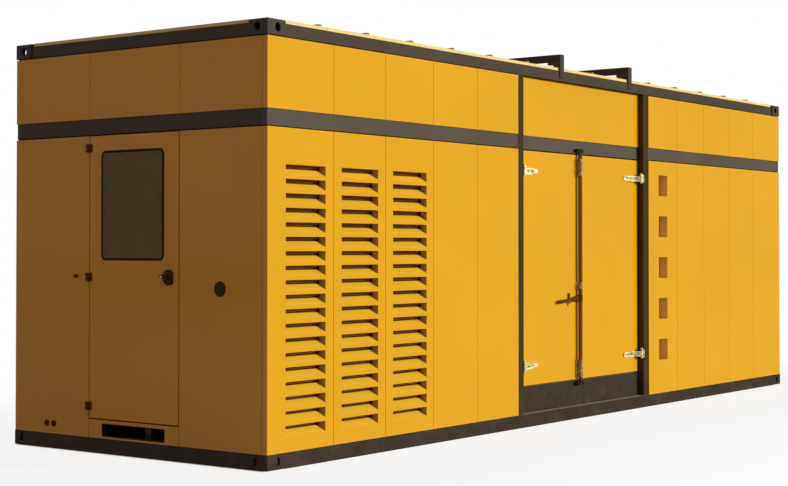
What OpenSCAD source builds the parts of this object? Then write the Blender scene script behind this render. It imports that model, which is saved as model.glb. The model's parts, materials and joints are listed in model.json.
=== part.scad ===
// Walk-in diesel generator set in a steel container enclosure.
// X runs along the length (the door end is at -X), the side with the double door faces -Y, Z is up.
// The origin lies at ground level in the middle of the enclosure.

/* [Overall] */
// Overall width over the corner castings
width = 2438; // [2300:1:2600]
// Height from the ground to the top of the corner castings
height = 2896; // [2700:1:3100]
// Width of one wall panel between the door end and the double door
near_panel_w = 577; // [520:1:640]
// Width of one wall panel between the double door and the far end
far_panel_w = 560; // [500:1:640]
// Number of wall panels in each of these two stretches
panels_each = 5; // [4:1:6]
// Extra width of the outermost panel, where it covers the corner post
corner_strip_w = 100; // [60:1:150]
// Width of the recessed bay that holds the double door
bay_w = 2005; // [1700:1:2300]

/* [Steel frame] */
// Height of the base rails and of each corner casting
base_h = 104; // [80:1:140]
// Depth of the base rails, measured inwards
base_d = 150; // [110:1:170]
// Width of each cross member under the floor
cross_w = 100; // [60:1:150]
// Number of cross members under the floor (odd, so that one lies at mid length)
cross_count = 7; // [5:2:11]
// Distance from the top of the corner castings down to the waist rail's underside
waist_drop = 686; // [600:1:760]
// Height of the waist rail itself
waist_h = 110; // [80:1:140]
// Height of the top rails
top_rail_h = 83; // [60:1:95]
// Depth of the top rails, measured inwards
top_rail_d = 60; // [40:1:90]
// Width of the posts beside the bay
post_w = 85; // [70:1:140]
// Side of the square corner posts
corner_post_w = 100; // [70:1:110]
// How far the rails and posts lie behind the castings
rail_set = 11; // [8:1:20]

/* [Corner castings] */
// Length of a casting along the enclosure
casting_l = 178; // [165:1:200]
// Width of a casting across the enclosure
casting_w = 162; // [155:1:190]
// Wall thickness of a casting
casting_wall = 14; // [10:1:20]
// Thickness of the casting's face that has the lifting slot
casting_face_t = 28; // [20:1:32]
// Rounding of a casting's outer edges
casting_r = 12; // [8:1:14]
// End-to-end length of the lifting slot
slot_l = 124; // [110:1:130]
// Width of the lifting slot
slot_w = 63.5; // [55:0.5:70]
// Distance of the slot's centre from the end of the enclosure
slot_end = 101.5; // [90:0.5:105]
// Distance of the slot's centre from the side of the enclosure
slot_side = 89; // [80:1:95]
// Width of the hole in a casting's side and end
side_hole_w = 51; // [40:1:60]
// Height of the hole in a casting's side and end
side_hole_h = 62; // [61:1:70]

/* [Panels] */
// How far the panel faces lie behind the castings
panel_set = 5; // [3:1:7]
// Thickness of the wall panels
panel_t = 45; // [36:1:60]
// Width of the seam between two panels
seam = 4; // [2:1:8]
// Height of the dark groove between a panel and the rail over it
rail_groove = 8; // [4:1:12]
// Depth of the studs and girts that carry the panels
stud_d = 40; // [30:1:60]
// Width of one stud
stud_w = 50; // [40:1:60]
// How far a girt reaches above and below the waist rail
girt_lap = 30; // [20:1:50]

/* [Louvres] */
// Number of louvre columns on each long side
louvre_columns = 3; // [1:1:4]
// Width of one louvre column
louvre_w = 406; // [300:1:430]
// Least height of plain panel above a louvre
louvre_head = 235; // [120:1:400]
// Distance from one blade to the next
blade_pitch = 94; // [85:1:94]
// Height of the lowest blade's front edge
louvre_z = 205; // [190:1:260]
// Height of the upright strip on the front of each blade
blade_strip = 26; // [16:1:34]
// Depth of a blade, measured inwards
blade_d = 68; // [60:1:90]
// How far a blade rises from front to back
blade_rise = 48; // [30:1:48]
// Thickness of the blades and of the cheeks at their ends
blade_t = 4; // [3:0.5:6]
// Width of the louvre in the far end wall
end_louvre_w = 640; // [500:1:760]

/* [Footholds] */
// Least distance from the highest foothold's centre to the panel's top
foothold_head = 200; // [140:1:300]
// Width of a foothold
foothold_w = 168; // [140:1:220]
// Height of a foothold
foothold_h = 189; // [150:1:220]
// Depth of a foothold
foothold_d = 80; // [60:1:110]
// Height of the lowest foothold's centre
foothold_z = 496; // [400:1:560]
// Distance from one foothold to the next
foothold_pitch = 372; // [330:1:380]
// Thickness of the foothold's sheet walls
foothold_wall = 4; // [3:0.5:8]

/* [Floor] */
// Height of the joists that stand on the base
joist_h = 120; // [110:1:125]
// Width of one joist
joist_w = 60; // [40:1:80]
// Number of joists
joist_count = 5; // [4:1:7]
// Thickness of the floor plate
deck_t = 8; // [5:1:12]

/* [Roof] */
// Thickness of the roof panels
roof_t = 24; // [18:1:45]
// Distance from one roof rib to the next
rib_pitch = 524; // [400:1:530]
// Number of roof ribs
rib_count = 14; // [8:2:14]
// Width of a roof rib
rib_w = 40; // [25:1:60]
// Height of a roof rib
rib_h = 26; // [10:1:30]
// How far the roof's edge lies behind the castings
roof_set = 19; // [15:1:30]
// Distance of the ribs' ends from the side of the enclosure
rib_set = 79; // [75:1:120]
// Gap between the roof and the corner castings
casting_gap = 10; // [6:1:20]
// Place of the roof beam nearer to the door end
beam_near_x = -374; // [-420:1:-330]
// Place of the roof beam nearer to the far end
beam_far_x = 788; // [700:1:900]
// Width of a roof beam and of its legs
beam_w = 60; // [40:1:80]
// Height of a roof beam
beam_h = 56; // [40:1:100]
// Clear height between the roof panels and a roof beam
beam_clear = 55; // [36:1:80]
// Thickness of the tabs that fix the beam legs to the rails
tab_t = 8; // [5:1:8]
// How far the tabs reach down over the rails
tab_drop = 60; // [40:1:70]
// Length of the gusset under the end of a roof beam
gusset_l = 60; // [30:1:90]
// Thickness of the gusset
gusset_t = 40; // [10:1:40]
// How far the sides of a roof rib lean in
rib_lean = 7; // [2:1:10]

/* [Double door] */
// How far the bay lies behind the posts beside it
bay_recess = 52; // [47:1:60]
// Thickness of the door leaves
leaf_t = 42; // [30:1:43]
// Height of the sill below the leaves
sill_top = 310; // [260:1:360]
// Gap above and below the leaves
leaf_gap = 10; // [6:1:14]
// Gap between a leaf and the post beside it
hinge_gap = 12; // [8:1:14]
// Gap between the two leaves
meeting_gap = 12; // [11:1:20]
// Gap between the leaves and the stops behind them
stop_gap = 6; // [5:1:10]
// Width and depth of the stops behind the leaves
stop_w = 40; // [30:1:60]
// Distance of the hinge axis from the post
pin_side = 28; // [26:1:34]
// Distance of the hinge axis from the face of the leaf
pin_front = 45; // [40:1:50]
// Radius of the hinge pins
pin_r = 8; // [6:0.5:9]
// Outer radius of the hinge knuckles
knuckle_r = 14; // [12:0.5:15]
// Height of a hinge knuckle
knuckle_h = 48; // [36:1:56]
// Thickness of the ears that hold a hinge pin
ear_t = 8; // [6:1:12]
// Length of a hinge strap on the leaf
strap_l = 240; // [150:1:300]
// Height of a hinge strap beside its knuckle
strap_h = 68; // [50:1:90]
// Height of a hinge strap at its far end
strap_tip = 36; // [20:1:50]
// Thickness of a hinge strap
strap_t = 8; // [5:1:9]
// Length of the tapered arm between a hinge's knuckle and its strap
arm_l = 36; // [32:1:60]
// Height of the lower hinges above the sill
hinge_rise = 166; // [90:1:190]
// Distance from the waist rail down to the upper hinges
hinge_drop = 175; // [120:1:310]
// How far the head of a hinge pin reaches beyond the pin
pin_head = 3; // [2:0.5:5]

/* [Lock rod] */
// Radius of the lock rod
rod_r = 15; // [12:0.5:18]
// Distance of the rod from the meeting line of the leaves
rod_side = 71; // [60:1:180]
// Distance of the rod's axis from the face of the leaf
rod_front = 24; // [24:1:40]
// Height of the lowest rod guide above the sill
guide_rise = 103; // [95:1:130]
// Height of the middle rod guide above the handle
guide_over = 104; // [80:1:200]
// Distance from the waist rail down to the highest rod guide
guide_drop = 115; // [95:1:140]
// Height of the middle rod guide
guide_h = 55; // [40:1:90]
// Height of the lowest and the highest rod guide
end_guide_h = 145; // [80:1:160]
// Wall thickness of a rod guide
guide_wall = 7; // [5:1:10]
// Thickness of the foot plate of a rod guide
guide_foot = 8; // [5:1:12]
// Radius of the round cams on the rod's ends
cam_r = 18.5; // [18.5:0.5:19]
// Height of a cam
cam_h = 26; // [18:1:28]
// Clear space beside a cam in its keeper
keeper_side = 20; // [8:1:30]
// Thickness of the keepers' cheeks
keeper_t = 9; // [6:1:12]
// Height of the keepers
keeper_h = 30; // [28:1:60]
// Height of the rod's handle
rod_handle_z = 998; // [900:1:1030]
// Length of the rod's handle from the rod's axis
rod_handle_l = 350; // [250:1:400]
// How far the handle's end hangs below its hub
rod_handle_drop = 26; // [0:1:40]
// Height of the handle bar
rod_handle_h = 32; // [24:1:40]
// Thickness of the handle bar
rod_handle_t = 12; // [8:1:16]
// Distance of the handle's catch from the rod
catch_side = 150; // [120:1:220]
// Width of the handle's catch
catch_w = 30; // [24:1:60]
// How far the catch's back plate rises above the handle
catch_rise = 40; // [20:1:60]

/* [Personnel door] */
// Width of the doorway in the end wall
doorway_w = 874; // [780:1:960]
// Height of the underside of the leaf
end_leaf_z = 240; // [236:1:280]
// Gap around the leaf
end_leaf_gap = 6; // [5:1:10]
// Thickness of the leaf
end_leaf_t = 40; // [30:1:40]
// Width of the window
window_w = 576; // [450:1:660]
// Height of the window
window_h = 727; // [500:1:800]
// Distance from the waist rail down to the window's upper edge
window_drop = 131; // [60:1:200]
// How far the window lies from the leaf's middle towards the hinges
window_side = 11; // [0:1:30]
// Corner radius of the window
window_r = 24; // [16:1:60]
// Thickness of the window's glass
glass_t = 8; // [5:1:12]
// Width of the rubber gasket around the window
gasket_w = 34; // [24:1:45]
// How far the gasket stands out from the leaf
gasket_t = 6; // [4:1:9]
// Distance of the outer hinges from the leaf's ends
end_hinge_in = 82; // [50:1:160]
// Height of a hinge
end_hinge_h = 57; // [45:1:70]
// Width of one hinge plate
end_hinge_w = 28; // [22:1:40]
// Thickness of the hinge plates
end_hinge_t = 6; // [4:1:8]
// Radius of the hinge pins
end_pin_r = 6; // [4:0.5:7]
// Outer radius of the hinge knuckles
end_knuckle_r = 10; // [9:0.5:11]
// Distance of the hinge axis from the face of the leaf
end_pin_front = 13; // [12:0.5:14]
// Distance of the handle from the leaf's latch edge
handle_in = 92; // [81:1:106]
// Distance from the window's lower edge down to the handle
handle_drop = 128; // [90:1:200]
// Radius of the handle's round rose
rose_r = 54; // [40:1:60]
// Distance from the rose's centre to its flat edge on the latch side
rose_flat = 42; // [30:1:60]
// Thickness of the rose
rose_t = 12; // [8:1:20]
// Length of the handle's pointed lever
lever_l = 70; // [62:1:160]
// Height of the lever at its neck
lever_h = 40; // [24:1:48]
// Height of the lever at its tip
lever_tip = 16; // [8:1:22]
// Thickness of the lever
lever_t = 14; // [10:1:20]
// How far the lever stands out from the rose
lever_out = 22; // [18:1:50]
// Width of the cable slot under the door
cable_w = 600; // [400:1:700]
// Height of the cable slot
cable_h = 84; // [50:1:84]
// Height of the cable slot's lower edge
cable_z = 120; // [116:1:124]
// How far the door frame's posts reach to each side of the doorway's edge
frame_lap = 32; // [26:1:40]

/* [End wall fittings] */
// Radius of the round cap beside the door
cap_r = 50; // [30:1:70]
// Thickness of the round cap
cap_t = 24; // [12:1:40]
// Distance of the cap's centre from the side of the enclosure
cap_side = 412; // [320:1:520]
// Height of the cap's centre
cap_z = 1154; // [1000:1:1300]
// Radius of the door buffer
buffer_r = 20; // [14:1:28]
// How far the buffer stands out
buffer_l = 45; // [30:1:50]
// Distance of the buffer from the doorway's edge
buffer_side = 129; // [100:1:180]
// Height of the buffer
buffer_z = 1225; // [1100:1:1350]
// Outer radius of the pipe sockets
socket_r = 22; // [16:1:28]
// Bore radius of the pipe sockets
socket_bore_r = 14; // [10:1:15]
// How far the pipe sockets stand out
socket_l = 30; // [20:1:50]
// Distance of the outer pipe socket from the side of the enclosure
socket_side = 349; // [250:1:450]
// Distance between the two pipe sockets
socket_pitch = 73; // [60:1:120]
// Height of the pipe sockets
socket_z = 176; // [140:1:240]

/* [Hidden] */
// Running clearance around hinge pins and the lock rod
pin_clear = 0.3;
// Axial clearance between a knuckle and its neighbours
knuckle_gap = 2;
// Gap that keeps two pieces of one frame apart
piece_gap = 1;
// Overlap that makes a cut run past a face, or fuses two shapes of one solid
lap = 2;
$fn = 48;

half_w = width / 2;
near_w = corner_strip_w + panels_each * near_panel_w;
far_w = corner_strip_w + panels_each * far_panel_w;
bay_s0 = near_w + post_w;
bay_s1 = bay_s0 + bay_w;
far_s0 = bay_s1 + post_w;
length = far_s0 + far_w;
half_l = length / 2;
top_z = height - base_h;
roof_z = top_z + top_rail_h;
wall_in = panel_set + panel_t;
rail_in = rail_set + top_rail_d;
waist_z = height - waist_drop;
waist_top = waist_z + waist_h;
lower_top = waist_z - rail_groove;
upper_top = top_z - rail_groove;
girt_in = wall_in + stud_d;
girt_z = waist_z - girt_lap;
deck_z = base_h + joist_h;
leaf_d = rail_set + bay_recess;
leaf_in = leaf_d + leaf_t;
post_in = leaf_in + stop_gap;
meeting_s = (bay_s0 + bay_s1) / 2;
pin_d = leaf_d - pin_front;
rod_s = meeting_s - rod_side;
rod_d = leaf_d - rod_front;
rod_bottom = sill_top - keeper_h - leaf_gap;
rod_top = waist_z + leaf_gap + keeper_h;
hinge_z = [sill_top + hinge_rise, waist_z - hinge_drop];
guides = [[sill_top + guide_rise, end_guide_h], [rod_handle_z + guide_over, guide_h],
    [waist_z - guide_drop, end_guide_h]];
handle_fall = rod_handle_drop / rod_handle_l;
beam_z = roof_z + roof_t + beam_clear;
half_door = doorway_w / 2;
end_leaf_w = doorway_w - 2 * end_leaf_gap;
end_leaf_top = waist_z - leaf_gap;
handle_side = end_leaf_w / 2 - handle_in;
end_pin_d = panel_set - end_pin_front;
end_plate_in = end_knuckle_r + piece_gap;
end_hinge_z = [end_leaf_z + end_hinge_in, (end_leaf_z + end_leaf_top) / 2, end_leaf_top - end_hinge_in];
window_z = waist_z - window_drop - window_h / 2;
handle_z = window_z - window_h / 2 - handle_drop;
blade_count = floor((lower_top - louvre_head - louvre_z + blade_strip) / blade_pitch);
foothold_count = floor((lower_top - foothold_head - foothold_z) / foothold_pitch) + 1;
near_seams = [for (i = [0 : panels_each]) i == 0 ? panel_set : corner_strip_w + i * near_panel_w];
far_seams = [for (i = [0 : panels_each]) i == panels_each ? length - panel_set : far_s0 + i * far_panel_w];
bay_panels = 4;
bay_seams = [for (i = [0 : bay_panels]) bay_s0 + i * bay_w / bay_panels];

panel_yellow = [0.93, 0.68, 0.17];
frame_brown = [0.33, 0.29, 0.26];
dark_metal = [0.14, 0.13, 0.12];
bright_metal = [0.72, 0.73, 0.74];
rubber_black = [0.05, 0.05, 0.05];
deck_grey = [0.45, 0.46, 0.47];

// Box on the front wall: along the length from the door end, inwards from the side, and up
module side_box(s, d, z) {
    translate([s[0] - half_l, d[0] - half_w, z[0]])
        cube([s[1] - s[0], d[1] - d[0], z[1] - z[0]]);
}

// Box on the door end: across, inwards from the end, and up
module end_box(y, d, z) {
    translate([d[0] - half_l, y[0], z[0]])
        cube([d[1] - d[0], y[1] - y[0], z[1] - z[0]]);
}

// Draws its children on the front and again, mirrored, on the back
module both_sides() {
    children();
    mirror([0, 1, 0]) children();
}

// Draws its children on the door end and again, mirrored, on the far end
module both_ends() {
    children();
    mirror([1, 0, 0]) children();
}

// Upright cylinder at a place on the front wall
module side_pin(s, d, z, r) {
    translate([s - half_l, d - half_w, z[0]]) cylinder(r = r, h = z[1] - z[0]);
}

// Upright cylinder at a place on the door end
module end_pin(y, d, z, r) {
    translate([d - half_l, y, z[0]]) cylinder(r = r, h = z[1] - z[0]);
}

// Cylinder that points out of the door end, from depth d outwards
module end_boss(y, z, d, l, r) {
    translate([d - half_l, y, z]) rotate([0, -90, 0]) cylinder(r = r, h = l);
}

// Rectangle with round corners, centred
module round_outline(w, h, r) {
    square([w - 2 * r, h], center = true);
    square([w, h - 2 * r], center = true);
    for (x = [-1, 1], y = [-1, 1]) translate([x * (w / 2 - r), y * (h / 2 - r)]) circle(r);
}

// Plate with round corners on the door end, its outer face at depth d
module end_plate(w, h, r, y, z, d, t) {
    translate([d - half_l, y, z]) rotate([90, 0, 90]) linear_extrude(t) round_outline(w, h, r);
}

// Slot with round ends, centred, its longer side along x
module slot_outline(l, w) {
    square([l - w, w], center = true);
    for (x = [-1, 1]) translate([x * (l - w) / 2, 0]) circle(w / 2);
}

// Row of panels between the given seams, on the front wall
module panel_row(seams, z) {
    for (i = [0 : len(seams) - 2])
        side_box([seams[i] + seam / 2, seams[i + 1] - seam / 2], [panel_set, wall_in], z);
}

// Louvre in wall coordinates: x along the wall, y inwards from the panel's face
module louvre_blades(w) {
    rise = blade_rise / blade_d;
    drop = blade_t * sqrt(1 + rise * rise);
    profile = [
        [0, -blade_strip], [0, 0], [blade_d, blade_rise], [blade_d, blade_rise - drop],
        [blade_t, blade_t * rise - drop], [blade_t, -blade_strip]
    ];
    for (i = [0 : blade_count - 1])
        translate([-w / 2, 0, louvre_z + i * blade_pitch])
            rotate([90, 0, 90]) linear_extrude(w) polygon(profile);
}

// Panel with a louvre in the middle: a slab, a deeper case behind it, and the blades
module louvre_panel(x0, x1, middle, w, z) {
    low = louvre_z - blade_strip;
    high = louvre_z + blade_count * blade_pitch - blade_strip;
    difference() {
        union() {
            translate([x0, 0, z[0]]) cube([x1 - x0, panel_t, z[1] - z[0]]);
            translate([middle - w / 2 - blade_t, 0, low - blade_t])
                cube([w + 2 * blade_t, max(blade_d, panel_t), high - low + 2 * blade_t]);
        }
        translate([middle - w / 2, -lap, low]) cube([w, blade_d + panel_t + 2 * lap, high - low]);
    }
    translate([middle, 0, 0]) louvre_blades(w + blade_t);
}

// Louvre panels in the first bays of the near stretch
module louvre_row() {
    for (i = [0 : louvre_columns - 1]) {
        s0 = near_seams[i] + seam / 2;
        s1 = near_seams[i + 1] - seam / 2;
        middle = near_seams[i + 1] - near_panel_w / 2;
        translate([-half_l, panel_set - half_w, 0])
            louvre_panel(s0, s1, middle, louvre_w, [base_h, lower_top]);
    }
}

// Rectangle from the origin with its corner at the origin rounded
module corner_outline(l, h) {
    translate([casting_r, 0]) square([l - casting_r, h]);
    translate([0, casting_r]) square([l, h - casting_r]);
    translate([casting_r, casting_r]) circle(casting_r);
}

// Block of a corner casting, its three outer edges rounded
module casting_block() {
    intersection() {
        linear_extrude(base_h) corner_outline(casting_l, casting_w);
        translate([0, casting_w, 0]) rotate([90, 0, 0]) linear_extrude(casting_w)
            corner_outline(casting_l, base_h);
        rotate([90, 0, 90]) linear_extrude(casting_l) corner_outline(casting_w, base_h);
    }
}

// Hollow corner casting of the door end's front corner, its slotted face below
module casting() {
    difference() {
        casting_block();
        translate([casting_wall, casting_wall, casting_face_t])
            cube([casting_l - 2 * casting_wall, casting_w - 2 * casting_wall,
                base_h - casting_face_t - casting_wall]);
        translate([slot_end, slot_side, -lap]) linear_extrude(casting_face_t + 2 * lap)
            slot_outline(slot_l, slot_w);
        translate([slot_end, casting_wall + lap, base_h / 2]) rotate([90, 0, 0])
            linear_extrude(casting_wall + 2 * lap) rotate(90) slot_outline(side_hole_h, side_hole_w);
        translate([-lap, slot_side, base_h / 2]) rotate([90, 0, 90])
            linear_extrude(casting_wall + 2 * lap) rotate(90) slot_outline(side_hole_h, side_hole_w);
    }
}

// Castings on all four corners
module four_castings() {
    both_ends() both_sides() translate([-half_l, -half_w, 0]) casting();
}

// Steel frame
module base_rails() {
    color(frame_brown) {
        both_sides() side_box([casting_l, length - casting_l], [0, base_d], [0, base_h]);
        both_ends() end_box([casting_w - half_w, half_w - casting_w], [0, base_d], [0, base_h]);
    }
}

module base_cross_members() {
    step = (length - 2 * casting_l - cross_w) / (cross_count + 1);
    color(frame_brown)
        for (i = [0 : cross_count - 1]) {
            x = (i - (cross_count - 1) / 2) * step;
            translate([x - cross_w / 2, base_d - half_w, 0]) cube([cross_w, width - 2 * base_d, base_h]);
        }
}

module bottom_corner_castings() {
    color(frame_brown) four_castings();
}

module top_corner_castings() {
    color(deck_grey) translate([0, 0, height]) mirror([0, 0, 1]) four_castings();
}

module frame_posts() {
    color(frame_brown) {
        both_ends() both_sides()
            side_box([wall_in, wall_in + corner_post_w], [wall_in, wall_in + corner_post_w],
                [base_h, top_z]);
        both_sides() for (s = [near_w, bay_s1])
            side_box([s, s + post_w], [rail_set, post_in], [base_h, top_z]);
    }
}

module top_rails() {
    color(frame_brown) {
        both_sides() side_box([casting_l, length - casting_l], [rail_set, rail_in], [top_z, roof_z]);
        both_ends() end_box([casting_w - half_w, half_w - casting_w], [rail_set, rail_in], [top_z, roof_z]);
    }
}

module side_waist_rails() {
    color(frame_brown) {
        both_sides() {
            side_box([rail_set, near_w], [rail_set, wall_in], [waist_z, waist_top]);
            side_box([far_s0, length - rail_set], [rail_set, wall_in], [waist_z, waist_top]);
        }
        side_box([bay_s0, bay_s1], [leaf_d, post_in], [waist_z, waist_top]);
        mirror([0, 1, 0]) side_box([bay_s0, bay_s1], [rail_set, wall_in], [waist_z, waist_top]);
    }
}

module end_waist_rails() {
    reach = half_w - wall_in;
    color(frame_brown) both_ends() end_box([-reach, reach], [rail_set, wall_in], [waist_z, waist_top]);
}

// Girts and studs carry the panels from inside
module girt_pair(s) {
    side_box(s, [wall_in, girt_in], [girt_z, waist_top + girt_lap]);
    side_box(s, [wall_in, girt_in], [top_z - girt_lap, top_z]);
}

module wall_girts() {
    corner_in = wall_in + corner_post_w;
    reach = half_w - corner_in;
    color(frame_brown) {
        both_sides() {
            girt_pair([corner_in, near_w]);
            girt_pair([far_s0, length - corner_in]);
        }
        mirror([0, 1, 0]) girt_pair([bay_s0, bay_s1]);
        both_ends() {
            end_box([-reach, reach], [wall_in, girt_in], [girt_z, waist_top + girt_lap]);
            end_box([-reach, reach], [wall_in, girt_in], [top_z - girt_lap, top_z]);
        }
    }
}

module stud(s) {
    side_box([s - stud_w / 2, s + stud_w / 2], [wall_in, girt_in], [base_h, girt_z]);
}

module wall_studs() {
    inner = [for (i = [1 : panels_each - 1]) i];
    color(frame_brown) {
        both_sides() {
            for (i = inner) {
                stud(near_seams[i]);
                stud(far_seams[i]);
            }
            stud(near_w - stud_w / 2);
            stud(far_s0 + stud_w / 2);
        }
        mirror([0, 1, 0]) {
            for (i = [1 : bay_panels - 1]) stud(bay_seams[i]);
            stud(bay_s0 + stud_w / 2);
            stud(bay_s1 - stud_w / 2);
        }
        mirror([1, 0, 0]) for (y = [-half_door, half_door])
            end_box([y - stud_w / 2, y + stud_w / 2], [wall_in, girt_in], [base_h, girt_z]);
    }
}

// Wall panels
module front_louvre_panels() {
    color(panel_yellow) louvre_row();
}

module plain_near_panels() {
    panel_row([for (i = [louvre_columns : panels_each]) near_seams[i]], [base_h, lower_top]);
}

module front_plain_panels() {
    color(panel_yellow) {
        plain_near_panels();
        panel_row([for (i = [1 : panels_each]) far_seams[i]], [base_h, lower_top]);
    }
}

// Draws its children at each foothold's centre
module at_footholds() {
    middle = (far_seams[0] + far_seams[1]) / 2;
    for (i = [0 : foothold_count - 1])
        translate([middle - half_l, panel_set - half_w, foothold_z + i * foothold_pitch]) children();
}

module foothold_box(grow, depth) {
    translate([-foothold_w / 2 - grow, 0, -foothold_h / 2 - grow])
        cube([foothold_w + 2 * grow, depth, foothold_h + 2 * grow]);
}

module foothold_panel() {
    color(panel_yellow) difference() {
        panel_row([far_seams[0], far_seams[1]], [base_h, lower_top]);
        at_footholds() translate([0, -lap, 0]) foothold_box(foothold_wall, panel_t + 2 * lap);
    }
}

module foothold_pockets() {
    color(panel_yellow) at_footholds() difference() {
        foothold_box(foothold_wall, foothold_d + foothold_wall);
        translate([0, -lap, 0]) foothold_box(0, foothold_d + lap);
    }
}

module side_upper_panels() {
    color(panel_yellow) {
        both_sides() {
            panel_row(near_seams, [waist_top, upper_top]);
            panel_row(far_seams, [waist_top, upper_top]);
        }
        mirror([0, 1, 0]) panel_row(bay_seams, [waist_top, upper_top]);
    }
}

module bay_upper_panel() {
    face = leaf_d + panel_set - rail_set;
    color(panel_yellow) side_box([bay_s0, bay_s1], [face, face + panel_t], [waist_top, top_z]);
}

module door_sill() {
    color(frame_brown) side_box([bay_s0, bay_s1], [leaf_d, post_in], [base_h, sill_top]);
}

module door_stops() {
    depth = [post_in, post_in + stop_w];
    half_stop = stop_w / 2;
    low = [sill_top - half_stop, sill_top + leaf_gap + half_stop];
    high = [waist_z - leaf_gap - half_stop, waist_z + half_stop];
    color(frame_brown) {
        for (z = [low, high]) side_box([bay_s0 - stop_w, bay_s1 + stop_w], depth, z);
        for (s = [bay_s0, bay_s1])
            side_box([s - stop_w, s + stop_w], depth, [low[1] + piece_gap, high[0] - piece_gap]);
    }
}

module back_louvre_panels() {
    color(panel_yellow) mirror([0, 1, 0]) louvre_row();
}

module back_plain_panels() {
    color(panel_yellow) mirror([0, 1, 0]) {
        plain_near_panels();
        panel_row(bay_seams, [base_h, lower_top]);
        panel_row(far_seams, [base_h, lower_top]);
    }
}

// Panel of an end wall
module end_panel(y, z) {
    end_box([y[0] + seam / 2, y[1] - seam / 2], [panel_set, wall_in], z);
}

module end_panel_set() {
    reach = half_w - wall_in;
    for (y = [[-reach, -half_door], [half_door, reach]]) {
        end_panel(y, [base_h, lower_top]);
        end_panel(y, [waist_top, upper_top]);
    }
    end_panel([-half_door, half_door], [waist_top, upper_top]);
}

module door_end_panels() {
    color(panel_yellow) end_panel_set();
}

module far_end_panels() {
    color(panel_yellow) mirror([1, 0, 0]) end_panel_set();
}

module far_end_louvre_panel() {
    color(panel_yellow) translate([half_l - panel_set, 0, 0]) rotate([0, 0, 90])
        louvre_panel(seam / 2 - half_door, half_door - seam / 2, 0, end_louvre_w, [base_h, lower_top]);
}

module under_door_panel() {
    color(panel_yellow) difference() {
        end_panel([-half_door, half_door], [base_h, end_leaf_z - leaf_gap]);
        end_box([-cable_w / 2, cable_w / 2], [panel_set - lap, wall_in + lap],
            [cable_z, cable_z + cable_h]);
    }
}

// Floor
module floor_joists() {
    inset = base_d + piece_gap;
    room = width - 2 * inset - joist_w;
    color(frame_brown) for (i = [0 : joist_count - 1])
        translate([inset - half_l, -room / 2 + i * room / (joist_count - 1) - joist_w / 2, base_h])
            cube([length - 2 * inset, joist_w, joist_h]);
}

module floor_deck() {
    edge_x = wall_in + corner_post_w + piece_gap;
    edge_y = post_in + piece_gap;
    color(deck_grey) translate([edge_x - half_l, edge_y - half_w, deck_z])
        cube([length - 2 * edge_x, width - 2 * edge_y, deck_t]);
}

// Roof
function rib_x(i) = (i - (rib_count - 1) / 2) * rib_pitch;

module roof_panels() {
    end_x = half_l - roof_set;
    edges = concat([-end_x], [for (i = [0 : rib_count - 1]) rib_x(i)], [end_x]);
    color(panel_yellow) difference() {
        for (i = [0 : rib_count])
            translate([edges[i] + seam / 2, roof_set - half_w, roof_z])
                cube([edges[i + 1] - edges[i] - seam, width - 2 * roof_set, roof_t]);
        both_ends() both_sides()
            side_box([-lap, casting_l + casting_gap], [-lap, casting_w + casting_gap],
                [roof_z - lap, roof_z + roof_t + lap]);
    }
}

module roof_ribs() {
    half_foot = rib_w / 2;
    half_crown = half_foot - rib_lean;
    profile = [[-half_foot, 0], [half_foot, 0], [half_crown, rib_h], [-half_crown, rib_h]];
    color(panel_yellow) for (i = [0 : rib_count - 1])
        translate([rib_x(i), half_w - rib_set, roof_z + roof_t])
            rotate([90, 0, 0]) linear_extrude(width - 2 * rib_set) polygon(profile);
}

module roof_beams() {
    color(dark_metal) for (x = [beam_near_x, beam_far_x])
        translate([x - beam_w / 2, rail_set - half_w, beam_z]) cube([beam_w, width - 2 * rail_set, beam_h]);
}

module roof_beam_legs() {
    roof_top = roof_z + roof_t;
    gusset_low = rib_h + knuckle_gap;
    gusset = [
        [0, gusset_low], [gusset_l, gusset_low + knuckle_gap], [gusset_l, beam_clear], [0, beam_clear]
    ];
    color(dark_metal) both_sides() for (x = [beam_near_x, beam_far_x]) translate([x + half_l, 0, 0]) {
        side_box([-beam_w / 2, beam_w / 2], [rail_set, rail_in], [roof_top, beam_z]);
        side_box([-beam_w / 2, beam_w / 2], [rail_set - tab_t, rail_set],
            [roof_z - tab_drop, beam_z + beam_h]);
        translate([-half_l - gusset_t / 2, rail_in - half_w, roof_top])
            rotate([90, 0, 90]) linear_extrude(gusset_t) polygon(gusset);
    }
}

// Personnel door
module end_door_frame() {
    color(frame_brown) {
        for (y = [-half_door, half_door])
            end_box([y - frame_lap, y + frame_lap], [wall_in, girt_in], [base_h, girt_z]);
        half_bar = half_door - frame_lap - piece_gap;
        end_box([-half_bar, half_bar], [wall_in, girt_in], [cable_z + cable_h, end_leaf_z + leaf_gap]);
    }
}

module end_hinge_frames() {
    third = end_hinge_h / 3;
    color(dark_metal) for (z = end_hinge_z) {
        low = z - end_hinge_h / 2;
        end_box([half_door + end_plate_in, half_door + end_hinge_w],
            [panel_set - end_hinge_t, panel_set], [low, low + end_hinge_h]);
        for (part = [0, 2]) {
            band = [low + part * third, low + (part + 1) * third];
            end_pin(half_door, end_pin_d, band, end_knuckle_r);
            end_box([half_door, half_door + end_hinge_w],
                [end_pin_d, panel_set - end_hinge_t + piece_gap], band);
        }
        end_pin(half_door, end_pin_d, [low, low + end_hinge_h], end_pin_r);
    }
}

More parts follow.
